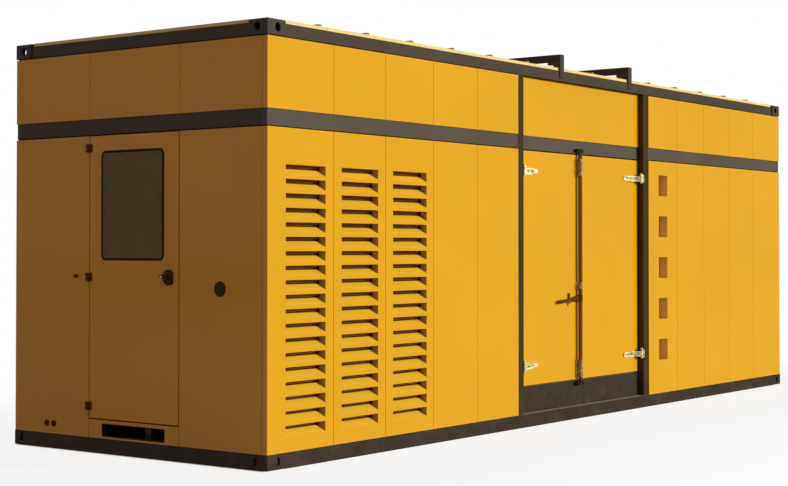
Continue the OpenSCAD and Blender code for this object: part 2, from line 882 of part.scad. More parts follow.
module end_hinge_leaves() {
    third = end_hinge_h / 3;
    color(dark_metal) for (z = end_hinge_z) {
        low = z - end_hinge_h / 2;
        band = [low + third + piece_gap, low + 2 * third - piece_gap];
        end_box([half_door - end_hinge_w, half_door - end_plate_in],
            [panel_set - end_hinge_t, panel_set], [low, low + end_hinge_h]);
        difference() {
            union() {
                end_pin(half_door, end_pin_d, band, end_knuckle_r);
                end_box([half_door - end_hinge_w, half_door],
                    [end_pin_d, panel_set - end_hinge_t + piece_gap], band);
            }
            end_pin(half_door, end_pin_d, [low, low + end_hinge_h], end_pin_r + pin_clear);
        }
    }
}

module end_door_leaf() {
    color(panel_yellow) difference() {
        end_box([-end_leaf_w / 2, end_leaf_w / 2], [panel_set, panel_set + end_leaf_t],
            [end_leaf_z, end_leaf_top]);
        end_plate(window_w, window_h, window_r, window_side, window_z,
            panel_set - lap, end_leaf_t + 2 * lap);
    }
}

module end_door_glass() {
    color([0.20, 0.17, 0.12, 0.6])
        end_plate(window_w - piece_gap, window_h - piece_gap, window_r, window_side, window_z,
            panel_set, glass_t);
}

module end_door_gasket() {
    inner_w = window_w - gasket_w;
    inner_h = window_h - gasket_w;
    color(rubber_black) difference() {
        end_plate(window_w + gasket_w, window_h + gasket_w, window_r + gasket_w / 2, window_side, window_z,
            panel_set - gasket_t, gasket_t);
        end_plate(inner_w, inner_h, window_r / 2, window_side, window_z,
            panel_set - gasket_t - lap, gasket_t + 2 * lap);
    }
}

// Handle: a round rose with a flat edge on the latch side, a neck and a pointed lever
module end_door_handle() {
    half_neck = lever_h / 2;
    half_tip = lever_tip / 2;
    out_d = panel_set - rose_t - lever_out - lever_t;
    lever = [[-half_neck, -half_neck], [lever_l, -half_tip], [lever_l, half_tip], [-half_neck, half_neck]];
    color(dark_metal) {
        intersection() {
            end_boss(-handle_side, handle_z, panel_set, rose_t, rose_r);
            end_box([-handle_side - rose_flat, rose_r - handle_side], [panel_set - rose_t, panel_set],
                [handle_z - rose_r, handle_z + rose_r]);
        }
        end_boss(-handle_side, handle_z, panel_set, rose_t + lever_out + lever_t, half_neck - piece_gap);
        translate([out_d - half_l, -handle_side, handle_z]) rotate([90, 0, 90])
            linear_extrude(lever_t) polygon(lever);
    }
}

// Double door
module left_door_leaf() {
    color(panel_yellow) side_box([bay_s0 + hinge_gap, meeting_s - meeting_gap / 2], [leaf_d, leaf_in],
        [sill_top + leaf_gap, waist_z - leaf_gap]);
}

module right_door_leaf() {
    color(panel_yellow) side_box([meeting_s + meeting_gap / 2, bay_s1 - hinge_gap], [leaf_d, leaf_in],
        [sill_top + leaf_gap, waist_z - leaf_gap]);
}

// Strap hinge half on the left leaf: tapered plate, arm and bored knuckle
module door_strap(z) {
    s = bay_s0 + pin_side;
    band = [z - knuckle_h / 2, z + knuckle_h / 2];
    start = s + knuckle_r + knuckle_gap;
    seat = pin_front - strap_t;
    arm = [[0, 0], [knuckle_r, 0], [arm_l, seat], [arm_l, seat + piece_gap], [0, seat + piece_gap]];
    half_root = strap_h / 2;
    half_tip = strap_tip / 2;
    plate = [[0, -half_root], [strap_l, -half_tip], [strap_l, half_tip], [0, half_root]];
    translate([start - half_l, leaf_d - half_w, z])
        rotate([90, 0, 0]) linear_extrude(strap_t) polygon(plate);
    difference() {
        union() {
            side_pin(s, pin_d, band, knuckle_r);
            translate([s - half_l, pin_d - half_w, band[0]]) linear_extrude(knuckle_h) polygon(arm);
        }
        side_pin(s, pin_d, [band[0] - lap, band[1] + lap], pin_r + pin_clear);
    }
}

module left_door_straps() {
    color(bright_metal) for (z = hinge_z) door_strap(z);
}

module right_door_straps() {
    color(bright_metal) translate([bay_s0 + bay_s1 - length, 0, 0]) mirror([1, 0, 0])
        for (z = hinge_z) door_strap(z);
}

// Fixed hinge half on the post's side: plate, two ears and the pin with its round head
module hinge_lug(z) {
    s = bay_s0 + pin_side;
    ear_z = knuckle_h / 2 + knuckle_gap;
    head_r = pin_r + pin_head;
    side_box([bay_s0, bay_s0 + strap_t - knuckle_gap], [pin_d - knuckle_r, pin_d + knuckle_r],
        [z - ear_z - ear_t, z + ear_z + ear_t]);
    for (band = [[z - ear_z - ear_t, z - ear_z], [z + ear_z, z + ear_z + ear_t]]) {
        side_box([bay_s0, s], [pin_d - knuckle_r, pin_d + knuckle_r], band);
        side_pin(s, pin_d, band, knuckle_r);
    }
    side_pin(s, pin_d, [z - ear_z - 2 * ear_t, z + ear_z + 2 * ear_t], pin_r);
    side_pin(s, pin_d, [z + ear_z + ear_t, z + ear_z + 2 * ear_t], head_r);
}

module hinge_lugs() {
    color(bright_metal) for (z = hinge_z) {
        hinge_lug(z);
        translate([bay_s0 + bay_s1 - length, 0, 0]) mirror([1, 0, 0]) hinge_lug(z);
    }
}

// Lock rod with a round cam at each end
module lock_rod() {
    color(panel_yellow) {
        side_pin(rod_s, rod_d, [rod_bottom, rod_top], rod_r);
        side_pin(rod_s, rod_d, [rod_bottom, rod_bottom + cam_h], cam_r);
        side_pin(rod_s, rod_d, [rod_top - cam_h, rod_top], cam_r);
    }
}

module lock_handle() {
    hub_r = rod_r + guide_wall;
    half_bar = rod_handle_h / 2;
    band = [rod_handle_z - half_bar, rod_handle_z + half_bar];
    end_z = -rod_handle_drop;
    bar = [
        [0, -half_bar], [0, half_bar], [-rod_handle_l, end_z + half_bar], [-rod_handle_l, end_z - half_bar]
    ];
    color(dark_metal) difference() {
        union() {
            side_pin(rod_s, rod_d, band, hub_r);
            translate([rod_s - half_l, rod_d + rod_handle_t / 2 - half_w, rod_handle_z])
                rotate([90, 0, 0]) linear_extrude(rod_handle_t) polygon(bar);
        }
        side_pin(rod_s, rod_d, [band[0] - lap, band[1] + lap], rod_r);
    }
}

// Guides that hold the rod on the left leaf, and the catch that holds its handle
module lock_brackets() {
    ring_r = rod_r + pin_clear + guide_wall;
    color(bright_metal) {
        for (guide = guides) {
            band = [guide[0] - guide[1] / 2, guide[0] + guide[1] / 2];
            difference() {
                union() {
                    side_pin(rod_s, rod_d, band, ring_r);
                    side_box([rod_s - ring_r, rod_s + ring_r], [rod_d, leaf_d], band);
                    side_box([rod_s - 2 * ring_r, rod_s + 2 * ring_r], [leaf_d - guide_foot, leaf_d], band);
                }
                side_pin(rod_s, rod_d, [band[0] - lap, band[1] + lap], rod_r + pin_clear);
            }
        }
        handle_catch();
    }
}

// Catch under the handle: an upright back plate on the leaf and a shelf
module handle_catch() {
    s = [rod_s - catch_side - catch_w / 2, rod_s - catch_side + catch_w / 2];
    shelf_top = rod_handle_z - handle_fall * (catch_side + catch_w / 2) - rod_handle_h / 2 - knuckle_gap;
    plate_top = rod_handle_z - handle_fall * catch_side + rod_handle_h / 2 + catch_rise;
    side_box(s, [leaf_d - guide_foot, leaf_d], [shelf_top - rod_handle_h, plate_top]);
    side_box(s, [rod_d - rod_handle_t, leaf_d], [shelf_top - guide_foot, shelf_top]);
}

// Keepers on the waist rail and on the sill: two cheeks, open in front
module rod_keeper(z) {
    reach = cam_r + keeper_side;
    for (s = [rod_s - reach - keeper_t, rod_s + reach])
        side_box([s, s + keeper_t], [rod_d - cam_r / 2, leaf_d], z);
}

module rod_keepers() {
    color(dark_metal) {
        rod_keeper([rod_bottom, rod_bottom + keeper_h]);
        rod_keeper([rod_top - keeper_h, rod_top]);
    }
}

// Fittings on the door end
module round_cap() {
    color(rubber_black) {
        end_boss(cap_side - half_w, cap_z, panel_set, cap_t / 2, cap_r);
        end_boss(cap_side - half_w, cap_z, panel_set, cap_t, cap_r - cap_t / 2);
    }
}

module pipe_sockets() {
    outer_y = half_w - socket_side;
    color(dark_metal) for (y = [outer_y, outer_y - socket_pitch]) difference() {
        end_boss(y, socket_z, panel_set, socket_l, socket_r);
        end_boss(y, socket_z, panel_set - foothold_wall, socket_l, socket_bore_r);
    }
}

module door_buffer() {
    color([0.35, 0.10, 0.08])
        end_boss(half_door + buffer_side, buffer_z, panel_set, buffer_l, buffer_r);
}

base_rails();
base_cross_members();
bottom_corner_castings();
floor_joists();
floor_deck();
frame_posts();
top_rails();
top_corner_castings();
side_waist_rails();
end_waist_rails();
wall_girts();
wall_studs();
front_louvre_panels();
front_plain_panels();
foothold_panel();
foothold_pockets();
side_upper_panels();
bay_upper_panel();
door_sill();
door_stops();
back_louvre_panels();
back_plain_panels();
door_end_panels();
under_door_panel();
far_end_panels();
far_end_louvre_panel();
roof_panels();
roof_ribs();
roof_beams();
roof_beam_legs();
end_door_frame();
end_hinge_frames();
end_door_leaf();
end_door_glass();
end_door_gasket();
end_door_handle();
end_hinge_leaves();
left_door_leaf();
left_door_straps();
right_door_leaf();
right_door_straps();
hinge_lugs();
lock_rod();
lock_handle();
lock_brackets();
rod_keepers();
round_cap();
pipe_sockets();
door_buffer();
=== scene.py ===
"""Finishes, trim and studio for the containerised diesel generator set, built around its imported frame."""
import json
import math

import bmesh
import bpy
import numpy as np
from bpy.props import FloatProperty, FloatVectorProperty, IntProperty, PointerProperty
from mathutils import Matrix, Vector


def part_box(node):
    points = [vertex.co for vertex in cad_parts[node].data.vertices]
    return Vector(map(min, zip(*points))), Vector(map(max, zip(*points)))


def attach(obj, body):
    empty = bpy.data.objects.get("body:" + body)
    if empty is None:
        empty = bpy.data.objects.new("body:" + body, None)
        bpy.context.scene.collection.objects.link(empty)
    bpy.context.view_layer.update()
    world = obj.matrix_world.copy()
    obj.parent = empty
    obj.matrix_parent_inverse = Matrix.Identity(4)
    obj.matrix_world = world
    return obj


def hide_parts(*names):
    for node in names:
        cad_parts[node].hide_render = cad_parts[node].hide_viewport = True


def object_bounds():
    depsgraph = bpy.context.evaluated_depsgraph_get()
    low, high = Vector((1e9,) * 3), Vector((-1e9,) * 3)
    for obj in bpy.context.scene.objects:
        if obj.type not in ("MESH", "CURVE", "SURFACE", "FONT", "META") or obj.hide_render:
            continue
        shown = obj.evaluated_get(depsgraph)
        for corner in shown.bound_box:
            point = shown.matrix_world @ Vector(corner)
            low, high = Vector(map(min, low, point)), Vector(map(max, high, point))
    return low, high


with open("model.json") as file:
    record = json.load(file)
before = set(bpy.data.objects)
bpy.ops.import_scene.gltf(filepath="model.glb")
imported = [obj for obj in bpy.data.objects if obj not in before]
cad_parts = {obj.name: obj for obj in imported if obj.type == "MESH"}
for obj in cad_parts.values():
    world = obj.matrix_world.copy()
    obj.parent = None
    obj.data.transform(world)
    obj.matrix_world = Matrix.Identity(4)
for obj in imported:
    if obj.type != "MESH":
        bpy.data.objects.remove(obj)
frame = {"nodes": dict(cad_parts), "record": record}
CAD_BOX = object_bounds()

bl_info = {
    "name": "Generator enclosure finish",
    "version": (1, 0, 0),
    "blender": (4, 5, 0),
    "location": "3D View > Sidebar > Generator",
    "description": "Paints the generator enclosure, adds its small trim and sets up the studio",
    "category": "Object",
}

# Directions
FRONT = np.array([0.0, -1.0, 0.0])
BACK = np.array([0.0, 1.0, 0.0])
DOOR_END = np.array([-1.0, 0.0, 0.0])
ACROSS = np.array([0.0, 1.0, 0.0])
ALONG = np.array([1.0, 0.0, 0.0])
UP = np.array([0.0, 0.0, 1.0])

# Sizes and places of the frame's pieces that their boxes don't give, in metres
GASKET_R = 0.024         # window gasket, corner radius
SIDE_LOUVRE_W = 0.414    # louvre cases, over their cheeks
END_LOUVRE_W = 0.648
LOUVRE_FOOT = 0.175
LOUVRE_TOP = 1.969
LOUVRE_MIDDLES = (-3.6415, -3.0645, -2.4875)
CASE_INSET = 0.02        # all cheeks lie further in than this from the ends of the row of louvre panels
SLOT_END = 0.1015        # casting slots, from the ends and sides of the enclosure
SLOT_SIDE = 0.089
HOLE_R = 0.0315          # casting side holes, half their height
SLOT_HALF_W = 0.300      # cable slot
SLOT_FOOT = 0.120
SLOT_TOP = 0.204
SLOT_R = 0.004
ROD_END_TOP = 2.205      # lock rod, where its black ends start
ROD_END_FOOT = 0.315
CATCH_X = -0.12          # handle's catch: left of this, on a foot up to this height
CATCH_FOOT = 0.992
STRAP_HALF = 0.034       # strap hinges: half their height, their thickness, and bolts from the knuckle's end
STRAP_T = 0.008
STRAP_BOLTS = np.array([0.075, 0.135, 0.195])
BEAM_HALF = 0.030        # roof beams: half their width, and bolts above the lower edge of their tabs
TAB_ROWS = np.array([0.015, 0.045])
HINGE_HALF = 0.0285      # small hinges: half their height, their thickness, and screws from middle and edge
HINGE_T = 0.006
HINGE_SCREW_Z = 0.020
HINGE_SCREW_Y = 0.006
LEVER_HALF = 0.016       # lock rod's handle, half the height of its bar
LINED_SIDE = 0.6         # panels further out than these, or higher, are lined on the room side
LINED_END = 3.6
LINED_ROOF = 2.6

# Choices of the finishes and the trim
DUST = (0.30, 0.26, 0.20)
SHADE_DEPTHS = (0.050, 0.060)    # behind the louvre panels' face, where the painted shade sets in
SIDE_FOLDS = 20          # pleats in a louvre screen
END_FOLDS = 32
SEAL_R = 0.02            # door seals: corner radius, and inset in seal widths
SEAL_INSET = np.array([1.0, 0.8])
END_SEAL_SHARE = 0.8     # personnel door's seal, as a share of the other's width
CAP_HEIGHT = 0.45        # end fittings, as shares of the solids that they replace
BUFFER_WIDTH = 0.62
BUFFER_HEIGHT = 0.55
SOCKET_HEIGHT = 0.3
SINK = 0.0005            # smallest step, which keeps a rim from closing or a face from lying in another
SHARP_ANGLE = math.radians(38.0)
SENSOR_W = 36.0          # camera, in millimetres
FLOOR_LINES = 9
FLOOR_EDGE = 0.05        # width of the floor's dark edge under the object


def corners(node):
    """Lowest and highest corner of a frame node, as arrays."""
    low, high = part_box(node)
    return np.array(low), np.array(high)


def end_seat(low, high):
    """Middle of a box's inner face, where a fitting sits on the door end."""
    return np.array([high[0], *(low + high)[1:] / 2.0])


def joint_place(name):
    """Point on a joint's axis, from the record."""
    joints = frame["record"]["behaviour"]["joints"]
    return next(np.array(joint["pos_m"]) for joint in joints if joint["name"] == name)


def tint(label, note, default):
    """A linear colour that the user can change."""
    return FloatVectorProperty(name=label, description=note, default=default, subtype="COLOR",
                               min=0.0, max=1.0)


def length(label, note, default):
    """A length in metres that the user can change."""
    return FloatProperty(name=label, description=note, default=default, subtype="DISTANCE", unit="LENGTH")


def bearing(label, note, degrees):
    """An angle that the user can change."""
    return FloatProperty(name=label, description=note, default=math.radians(degrees), subtype="ANGLE")


class PaintSettings(bpy.types.PropertyGroup):
    """Colours of the finishes."""

    panel: tint("Panel paint", "Yellow of the wall panels and doors", (0.85, 0.433, 0.003))
    # the paler tint on the footholds' sides is painted bounce light
    pocket: tint("Pocket paint", "Paler, dusty yellow on the footholds' sides", (0.80, 0.63, 0.34))
    liner: tint("Liner", "Pale sheet on the room side of the panels", (0.52, 0.52, 0.49))
    # the roof edge tint is a painted highlight, lighter than the panel paint on the upright edges
    roof: tint("Roof edge paint", "Bleached yellow on the edges of the roof panels", (1.0, 0.76, 0.28))
    # the ribs' upright sides are darker: painted shade
    rib: tint("Rib end paint", "Dirty yellow on the sides of the roof ribs", (0.52, 0.27, 0.01))
    # the blades' upper faces are painted lighter: a painted highlight where the sun falls on them
    blade_highlight: tint("Blade paint", "Bleached yellow on the blades' upper faces", (1.0, 0.60, 0.04))
    # the cheeks' tint is painted shade, duller and darker than the panel paint
    cheek_shade: tint("Cheek paint", "Dusty brown-yellow on the louvres' cheeks", (0.58, 0.38, 0.18))
    # the louvre dirt is painted shade: dark brown deep behind the blades
    louvre_painted_shade: tint("Louvre dirt", "Dark brown dirt at the back of the blades", (0.060, 0.024, 0.006))
    rod: tint("Rod paint", "Dirty brown of the lock rod", (0.17, 0.052, 0.004))
    rail: tint("Rail paint", "Grey-brown of the side waist rails and the inner frame", (0.119, 0.101, 0.075))
    # on the end bands, which lie in shade, this darker paint is painted shade
    top: tint("Top rail paint", "Darker grey-brown of the top rails and end bands", (0.087, 0.070, 0.051))
    base: tint("Base paint", "Darker paint of the base, its castings and the sill", (0.053, 0.039, 0.026))
    post: tint("Post paint", "Dusty olive-brown of the frame posts", (0.068, 0.042, 0.012))
    # the pale upper faces of the base are dust and a painted highlight
    ledge_dust_and_highlight: tint("Ledge dust", "Pale dust on the upper faces of the base", (0.42, 0.40, 0.36))
    casting: tint("Casting paint", "Grey of the upper corner castings and beam legs", (0.088, 0.078, 0.060))
    beam: tint("Beam paint", "Near-black of the roof beams", (0.055, 0.045, 0.036))
    fitting: tint("Fitting", "Near-black of the keepers, door lever and beam bolts", (0.046, 0.030, 0.010))
    handle: tint("Handle paint", "Dark brown of the lock rod's handle and catch", (0.080, 0.036, 0.001))
    hinge: tint("Hinge paint", "Red-brown of the small hinges", (0.150, 0.040, 0.026))
    zinc: tint("Zinc", "Bright plating of the strap hinges", (0.56, 0.48, 0.23))
    guide: tint("Guide", "Dull brown-yellow of the rod guides", (0.34, 0.21, 0.05))
    deck: tint("Deck", "Tread plate of the floor", (0.23, 0.24, 0.25))
    rubber: tint("Rubber", "Black of the gasket, seals and packers", (0.030, 0.017, 0.008))
    cap: tint("Cap", "Dusty black of the round cap", (0.055, 0.036, 0.016))
    lip: tint("Gasket lip", "Dusty inner lip of the window gasket", (0.20, 0.15, 0.08))
    buffer: tint("Buffer", "Dark red of the door buffer", (0.150, 0.042, 0.024))
    glass: tint("Glass", "Brown tint of the window", (0.206, 0.170, 0.046))
    screen: tint("Screen", "Brown of the pleated screens behind the louvres", (0.36, 0.20, 0.05))
    plug: tint("Plug", "Red-brown of the socket plugs", (0.090, 0.032, 0.006))


class TrimSettings(bpy.types.PropertyGroup):
    """Sizes of the small trim."""

    bolt_r: length("Bolt radius", "Radius of the strap hinges' bolt heads", 0.0095)
    bolt_h: length("Bolt height", "Height of the strap hinges' bolt heads", 0.006)
    tab_bolt_r: length("Tab bolt radius", "Radius of the bolt heads on the roof beams' tabs", 0.008)
    tab_bolt_h: length("Tab bolt height", "Height of the bolt heads on the roof beams' tabs", 0.0035)
    screw_r: length("Screw radius", "Radius of the small screws", 0.0042)
    screw_h: length("Screw height", "Height of the small screws", 0.0022)
    pin_r: length("Pin radius", "Radius of the heads on the hinge pins", 0.0105)
    pin_h: length("Pin height", "Height of the heads on the hinge pins", 0.012)
    strip_t: length("Strip thickness", "Thickness of the cover strips on the doors", 0.0025)
    cover_w: length("Cover strip width", "Width of the strip beside the meeting line", 0.042)
    latch_w: length("Latch strip width", "Width of the strip on the personnel door's latch edge", 0.035)
    seal_w: length("Seal width", "Width of the double door's seal", 0.012)
    seal_t: length("Seal thickness", "Thickness of the double door's seal", 0.0035)
    end_seal_t: length("End seal thickness", "Thickness of the personnel door's seal", 0.0030)
    bar_root: length("Bar root", "Distance of the rod handle's bar from the rod's axis", 0.012)
    bar_swell: length("Bar swell", "What the rod handle's bar gains in half height at its root", 0.011)
    bar_half_t: length("Bar half thickness", "Half the thickness of the rod handle's bar", 0.006)
    rose_t: length("Rose thickness", "Thickness of the door handle's rose", 0.012)
    rose_flat: length("Rose flat", "Distance of the rose's flat side from its middle", 0.042)
    rose_point: length("Rose point", "Distance of the rose's point from its middle", 0.068)
    neck_r: length("Neck radius", "Radius of the door handle's neck", 0.013)
    lever_t: length("Lever thickness", "Thickness of the door lever", 0.014)
    lever_l: length("Lever length", "Reach of the door lever from the middle of its rose", 0.046)
    lever_tail: length("Lever tail", "Reach of the door lever behind the middle of its rose", 0.018)
    lever_rise: length("Lever rise", "Height of the door lever's tip above its root", 0.012)
    lever_half: length("Lever half height", "Half the height of the door lever at its root", 0.0215)
    lever_taper: length("Lever taper", "What the door lever loses in half height to its tip", 0.0150)
    key_y: length("Key place", "Distance of the key cylinder from the middle of the rose", 0.027)
    key_z: length("Key height", "Height of the key cylinder above the middle of the rose", 0.005)
    key_r: length("Key radius", "Radius of the key cylinder", 0.005)
    key_t: length("Key thickness", "How far the key cylinder stands out", 0.0015)
    pleat: length("Pleat depth", "Depth of the pleats in the louvre screens", 0.008)
    screen_t: length("Screen thickness", "Thickness of the louvre screens", 0.002)
    sleeve_t: length("Sleeve thickness", "Thickness of the cable slot's rubber sleeve", 0.002)
    packer_set: length("Packer inset", "How far the corner packers lie behind the rails' faces", 0.004)
    plug_set: length("Plug depth", "How far the casting plugs lie behind the holes", 0.012)
    plug_t: length("Plug thickness", "Thickness of the casting plugs", 0.004)
    edge: length("Edge rounding", "Rounding of folded edges", 0.0010)
    sides: IntProperty(name="Sides", description="Sides of a turned piece", default=40, min=12, max=96)


class StudioSettings(bpy.types.PropertyGroup):
    """Camera, lamp, world and floor."""

    lens: FloatProperty(name="Lens", description="Focal length in millimetres", default=72.523)
    camera_at: FloatVectorProperty(name="Camera", description="Place of the camera", subtype="XYZ",
                                   unit="LENGTH", default=(-11.6310, -7.9292, 1.4316))
    yaw: bearing("Yaw", "Direction of view from +X", 36.5132)
    pitch: bearing("Pitch", "Upward tilt of view", 0.9930)
    shift_x: FloatProperty(name="Shift X", description="Sideways shift of the lens", default=-0.0127)
    shift_y: FloatProperty(name="Shift Y", description="Upward shift of the lens", default=-0.0305)
    sun_side: bearing("Sun side", "Turn of the sun from the front's normal to the right", 33.0)
    sun_rise: bearing("Sun height", "Elevation of the sun", 11.0)
    sun_power: FloatProperty(name="Sun power", description="Strength of the sun", default=2.93)
    sun_spread: bearing("Sun spread", "Angular size of the sun", 3.0)
    ambient: tint("Ambient", "Light from all around", (0.283, 0.197, 0.157))
    floor: tint("Floor", "Colour of the studio floor", (0.80, 0.80, 0.79))
    floor_dim: tint("Floor bounce", "Floor colour that lights the object", (0.30, 0.30, 0.30))
    floor_half: length("Floor size", "Half the side of the studio floor", 60.0)
    glow: FloatProperty(name="Floor glow", description="White in the floor near the object", default=0.87)
    fade_near: length("Fade start", "Distance from the object at which the floor starts to turn white", 0.5)
    fade_far: length("Fade end", "Distance from the object at which the floor is white", 4.0)


# Surfaces


def grid_quads(rows, cols, wrap_rows=False, wrap_cols=False):
    """Quads of a rows by cols grid of points; a wrapped direction joins its last line to its first."""
    i, j = np.meshgrid(np.arange(rows - (not wrap_rows)), np.arange(cols - (not wrap_cols)), indexing="ij")
    i2 = (i + 1) % rows
    j2 = (j + 1) % cols
    return np.stack([i * cols + j, i2 * cols + j, i2 * cols + j2, i * cols + j2], -1).reshape(-1, 4)


def tube_faces(rows, cols):
    """Faces of a tube: rings of cols points joined row by row, with a flat face at both ends."""
    ends = [list(range(cols))[::-1], list(range((rows - 1) * cols, rows * cols))]
    return grid_quads(rows, cols, wrap_cols=True).tolist() + ends


def repeat_faces(faces, copies, points):
    """The same faces for each of several copies, shifted by the points of one copy."""
    shift = (np.arange(copies) * points)[:, None, None]
    return (np.asarray(faces)[None] + shift).reshape(-1, np.asarray(faces).shape[1])


def turned(centres, axis, profile, sides):
    """Turned pieces: each (radius, height) pair is carried round the axis, and discs close both ends."""
    centres = np.atleast_2d(np.asarray(centres, float))
    axis = np.asarray(axis, float)
    side = np.cross(axis, UP) if abs(axis @ UP) < 0.9 else ALONG
    other = np.cross(axis, side)
    angle = np.linspace(0.0, 2.0 * np.pi, sides, endpoint=False)
    circle = np.cos(angle)[:, None] * side + np.sin(angle)[:, None] * other
    radius, height = np.asarray(profile, float).T
    shape = height[:, None, None] * axis + radius[:, None, None] * circle
    points = centres[:, None, None] + shape[None]
    rows = len(radius)
    quads = repeat_faces(grid_quads(rows, sides, wrap_cols=True), len(centres), rows * sides)
    discs = np.array([np.arange(sides)[::-1], np.arange(sides) + (rows - 1) * sides])
    caps = repeat_faces(discs, len(centres), rows * sides)
    return points.reshape(-1, 3), quads.tolist() + caps.tolist()


def framed(centre, half, corner_r, across, out, profile, arc_steps=10):
    """Upright ring round a rectangle with round corners, from a profile of (outward, proud) offsets.

    The outline is four quarter circles joined by straight sides, and every offset moves along its normal."""
    quarter = np.linspace(0.0, np.pi / 2.0, arc_steps)
    turn = (quarter[None] + np.arange(4)[:, None] * np.pi / 2.0).ravel()
    signs = np.repeat([[1, 1], [-1, 1], [-1, -1], [1, -1]], arc_steps, axis=0)
    normal = np.stack([np.cos(turn), np.sin(turn)], -1)
    outline = signs * (np.asarray(half, float) - corner_r) + corner_r * normal
    offset, proud = np.asarray(profile, float).T
    flat = outline[:, None] + normal[:, None] * offset[None, :, None]
    wall = np.asarray(centre, float) + flat[..., :1] * across + flat[..., 1:] * UP
    points = wall + proud[None, :, None] * out
    return points.reshape(-1, 3), grid_quads(len(turn), len(offset), True, True).tolist()


def pressed(centre, rim, profile, height):
    """Pressed plate on the door end: the rim is scaled and raised by each (scale, rise) of the profile."""
    scale, rise = np.asarray(profile, float).T
    flat = rim[None] * scale[:, None, None]
    wall = centre + flat[..., :1] * ACROSS + flat[..., 1:] * UP
    points = wall + (rise * height)[:, None, None] * DOOR_END
    return points.reshape(-1, 3), tube_faces(len(scale), len(rim))


def limb(path, wide, thick, wide_axis, thick_axis, sides=24, power=2.6):
    """Limb along a path: each section is a rounded rectangle, half `wide` by half `thick`, on the two axes.

    The section is the superellipse |cos|^(2/p), |sin|^(2/p); flat ends close it."""
    angle = np.linspace(0.0, 2.0 * np.pi, sides, endpoint=False)
    cosine = np.sign(np.cos(angle)) * np.abs(np.cos(angle)) ** (2.0 / power)
    sine = np.sign(np.sin(angle)) * np.abs(np.sin(angle)) ** (2.0 / power)
    spread = np.asarray(wide, float)[:, None, None] * cosine[None, :, None] * wide_axis
    depth = np.asarray(thick, float)[:, None, None] * sine[None, :, None] * thick_axis
    points = np.asarray(path, float)[:, None] + spread + depth
    return points.reshape(-1, 3), tube_faces(len(path), sides)


def round_end(t, start, run):
    """Width of a limb near an end: a quarter ellipse from 1 at the start to 0 after the run.

    A negative run rounds the end at t = 0."""
    return np.sqrt(1.0 - np.clip((t - start) / run, 0.0, 1.0) ** 2)


def pleated(centre, half, across, out, folds, depth, sheet):
    """Pleated sheet: an upright strip of the sheet's thickness that goes back and forth as it runs across.

    The front crests lie on the centre's plane, and flat ends close the sheet."""
    step = np.arange(2 * folds + 1)
    run = np.linspace(-half[0], half[0], len(step))
    height = np.array([-half[1], half[1], half[1], -half[1]])
    proud = np.array([0.0, 0.0, -sheet, -sheet])[None] - depth * (step % 2)[:, None]
    wall = np.asarray(centre, float) + run[:, None, None] * across + height[None, :, None] * UP
    points = wall + proud[..., None] * out
    return points.reshape(-1, 3), tube_faces(len(step), len(height))


def slabs(lows, highs):
    """Boxes between pairs of corners, as one set of points and faces."""
    lows, highs = np.atleast_2d(lows), np.atleast_2d(highs)
    pick = np.array([[0, 0, 0], [1, 0, 0], [1, 1, 0], [0, 1, 0], [0, 0, 1], [1, 0, 1], [1, 1, 1], [0, 1, 1]])
    points = lows[:, None] + pick[None] * (highs - lows)[:, None]
    box = [[3, 2, 1, 0], [4, 5, 6, 7], [0, 1, 5, 4], [1, 2, 6, 5], [2, 3, 7, 6], [3, 0, 4, 7]]
    return points.reshape(-1, 3), repeat_faces(box, len(lows), len(pick)).tolist()


def joined(*shapes):
    """Several (points, faces) pairs as one."""
    starts = np.cumsum([0] + [len(points) for points, _ in shapes])
    faces = [[start + k for k in face] for start, (_, some) in zip(starts, shapes) for face in some]
    return np.concatenate([points for points, _ in shapes]), faces


def wall_grid(columns, face, rows):
    """Points on a long wall: every column of X with every row of Z, on a face at one Y."""
    x, z = (places.ravel() for places in np.meshgrid(columns, rows))
    return np.stack([x, np.full_like(x, face), z], -1)


def half_round(width, height, steps=9):
    """Half-round section, flat below: (outward, proud) offsets of a half ellipse and its base."""
    angle = np.linspace(0.0, np.pi, steps)
    return np.stack([width / 2.0 * np.cos(angle), height * np.sin(angle)], -1)


def head_profile(radius, height, edge=0.35):
    """Bolt head: upright edge, then a chamfer to a flat top."""
    return [(radius, 0.0), (radius, height * (1.0 - edge)), (radius * 0.82, height)]


def domed_profile(rim, share, turn, foot, steps=14):
    """Rim of (radius, height) shares, then a dome: radius by cosine, height by sine from its foot to 1."""
    t = np.linspace(0.0, 1.0, steps)
    dome = np.stack([share * np.cos(t * turn), foot + (1.0 - foot) * np.sin(t * np.pi / 2.0)], -1)
    return np.concatenate([rim, dome])


FINISHES = {}


def add_piece(name, shape, finish, body, replaced=(), bevel=0.0):
    """Puts points and faces into a mesh with outward faces, paints it and lets it ride on a body."""
    points, faces = shape
    mesh = bpy.data.meshes.new(name)
    mesh.from_pydata(points.tolist(), [], faces)
    work = bmesh.new()
    work.from_mesh(mesh)
    bmesh.ops.recalc_face_normals(work, faces=work.faces)
    work.to_mesh(mesh)
    work.free()
    mesh.shade_smooth()
    mesh.set_sharp_from_angle(angle=SHARP_ANGLE)
    mesh.materials.append(FINISHES[finish])
    piece = bpy.data.objects.new(name, mesh)
    bpy.context.scene.collection.objects.link(piece)
    if bevel:
        rounding = piece.modifiers.new("Folded edges", "BEVEL")
        rounding.width = bevel
        rounding.segments = 2
        rounding.limit_method = "ANGLE"
    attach(piece, body)
    if replaced:
        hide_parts(*replaced)


# Materials


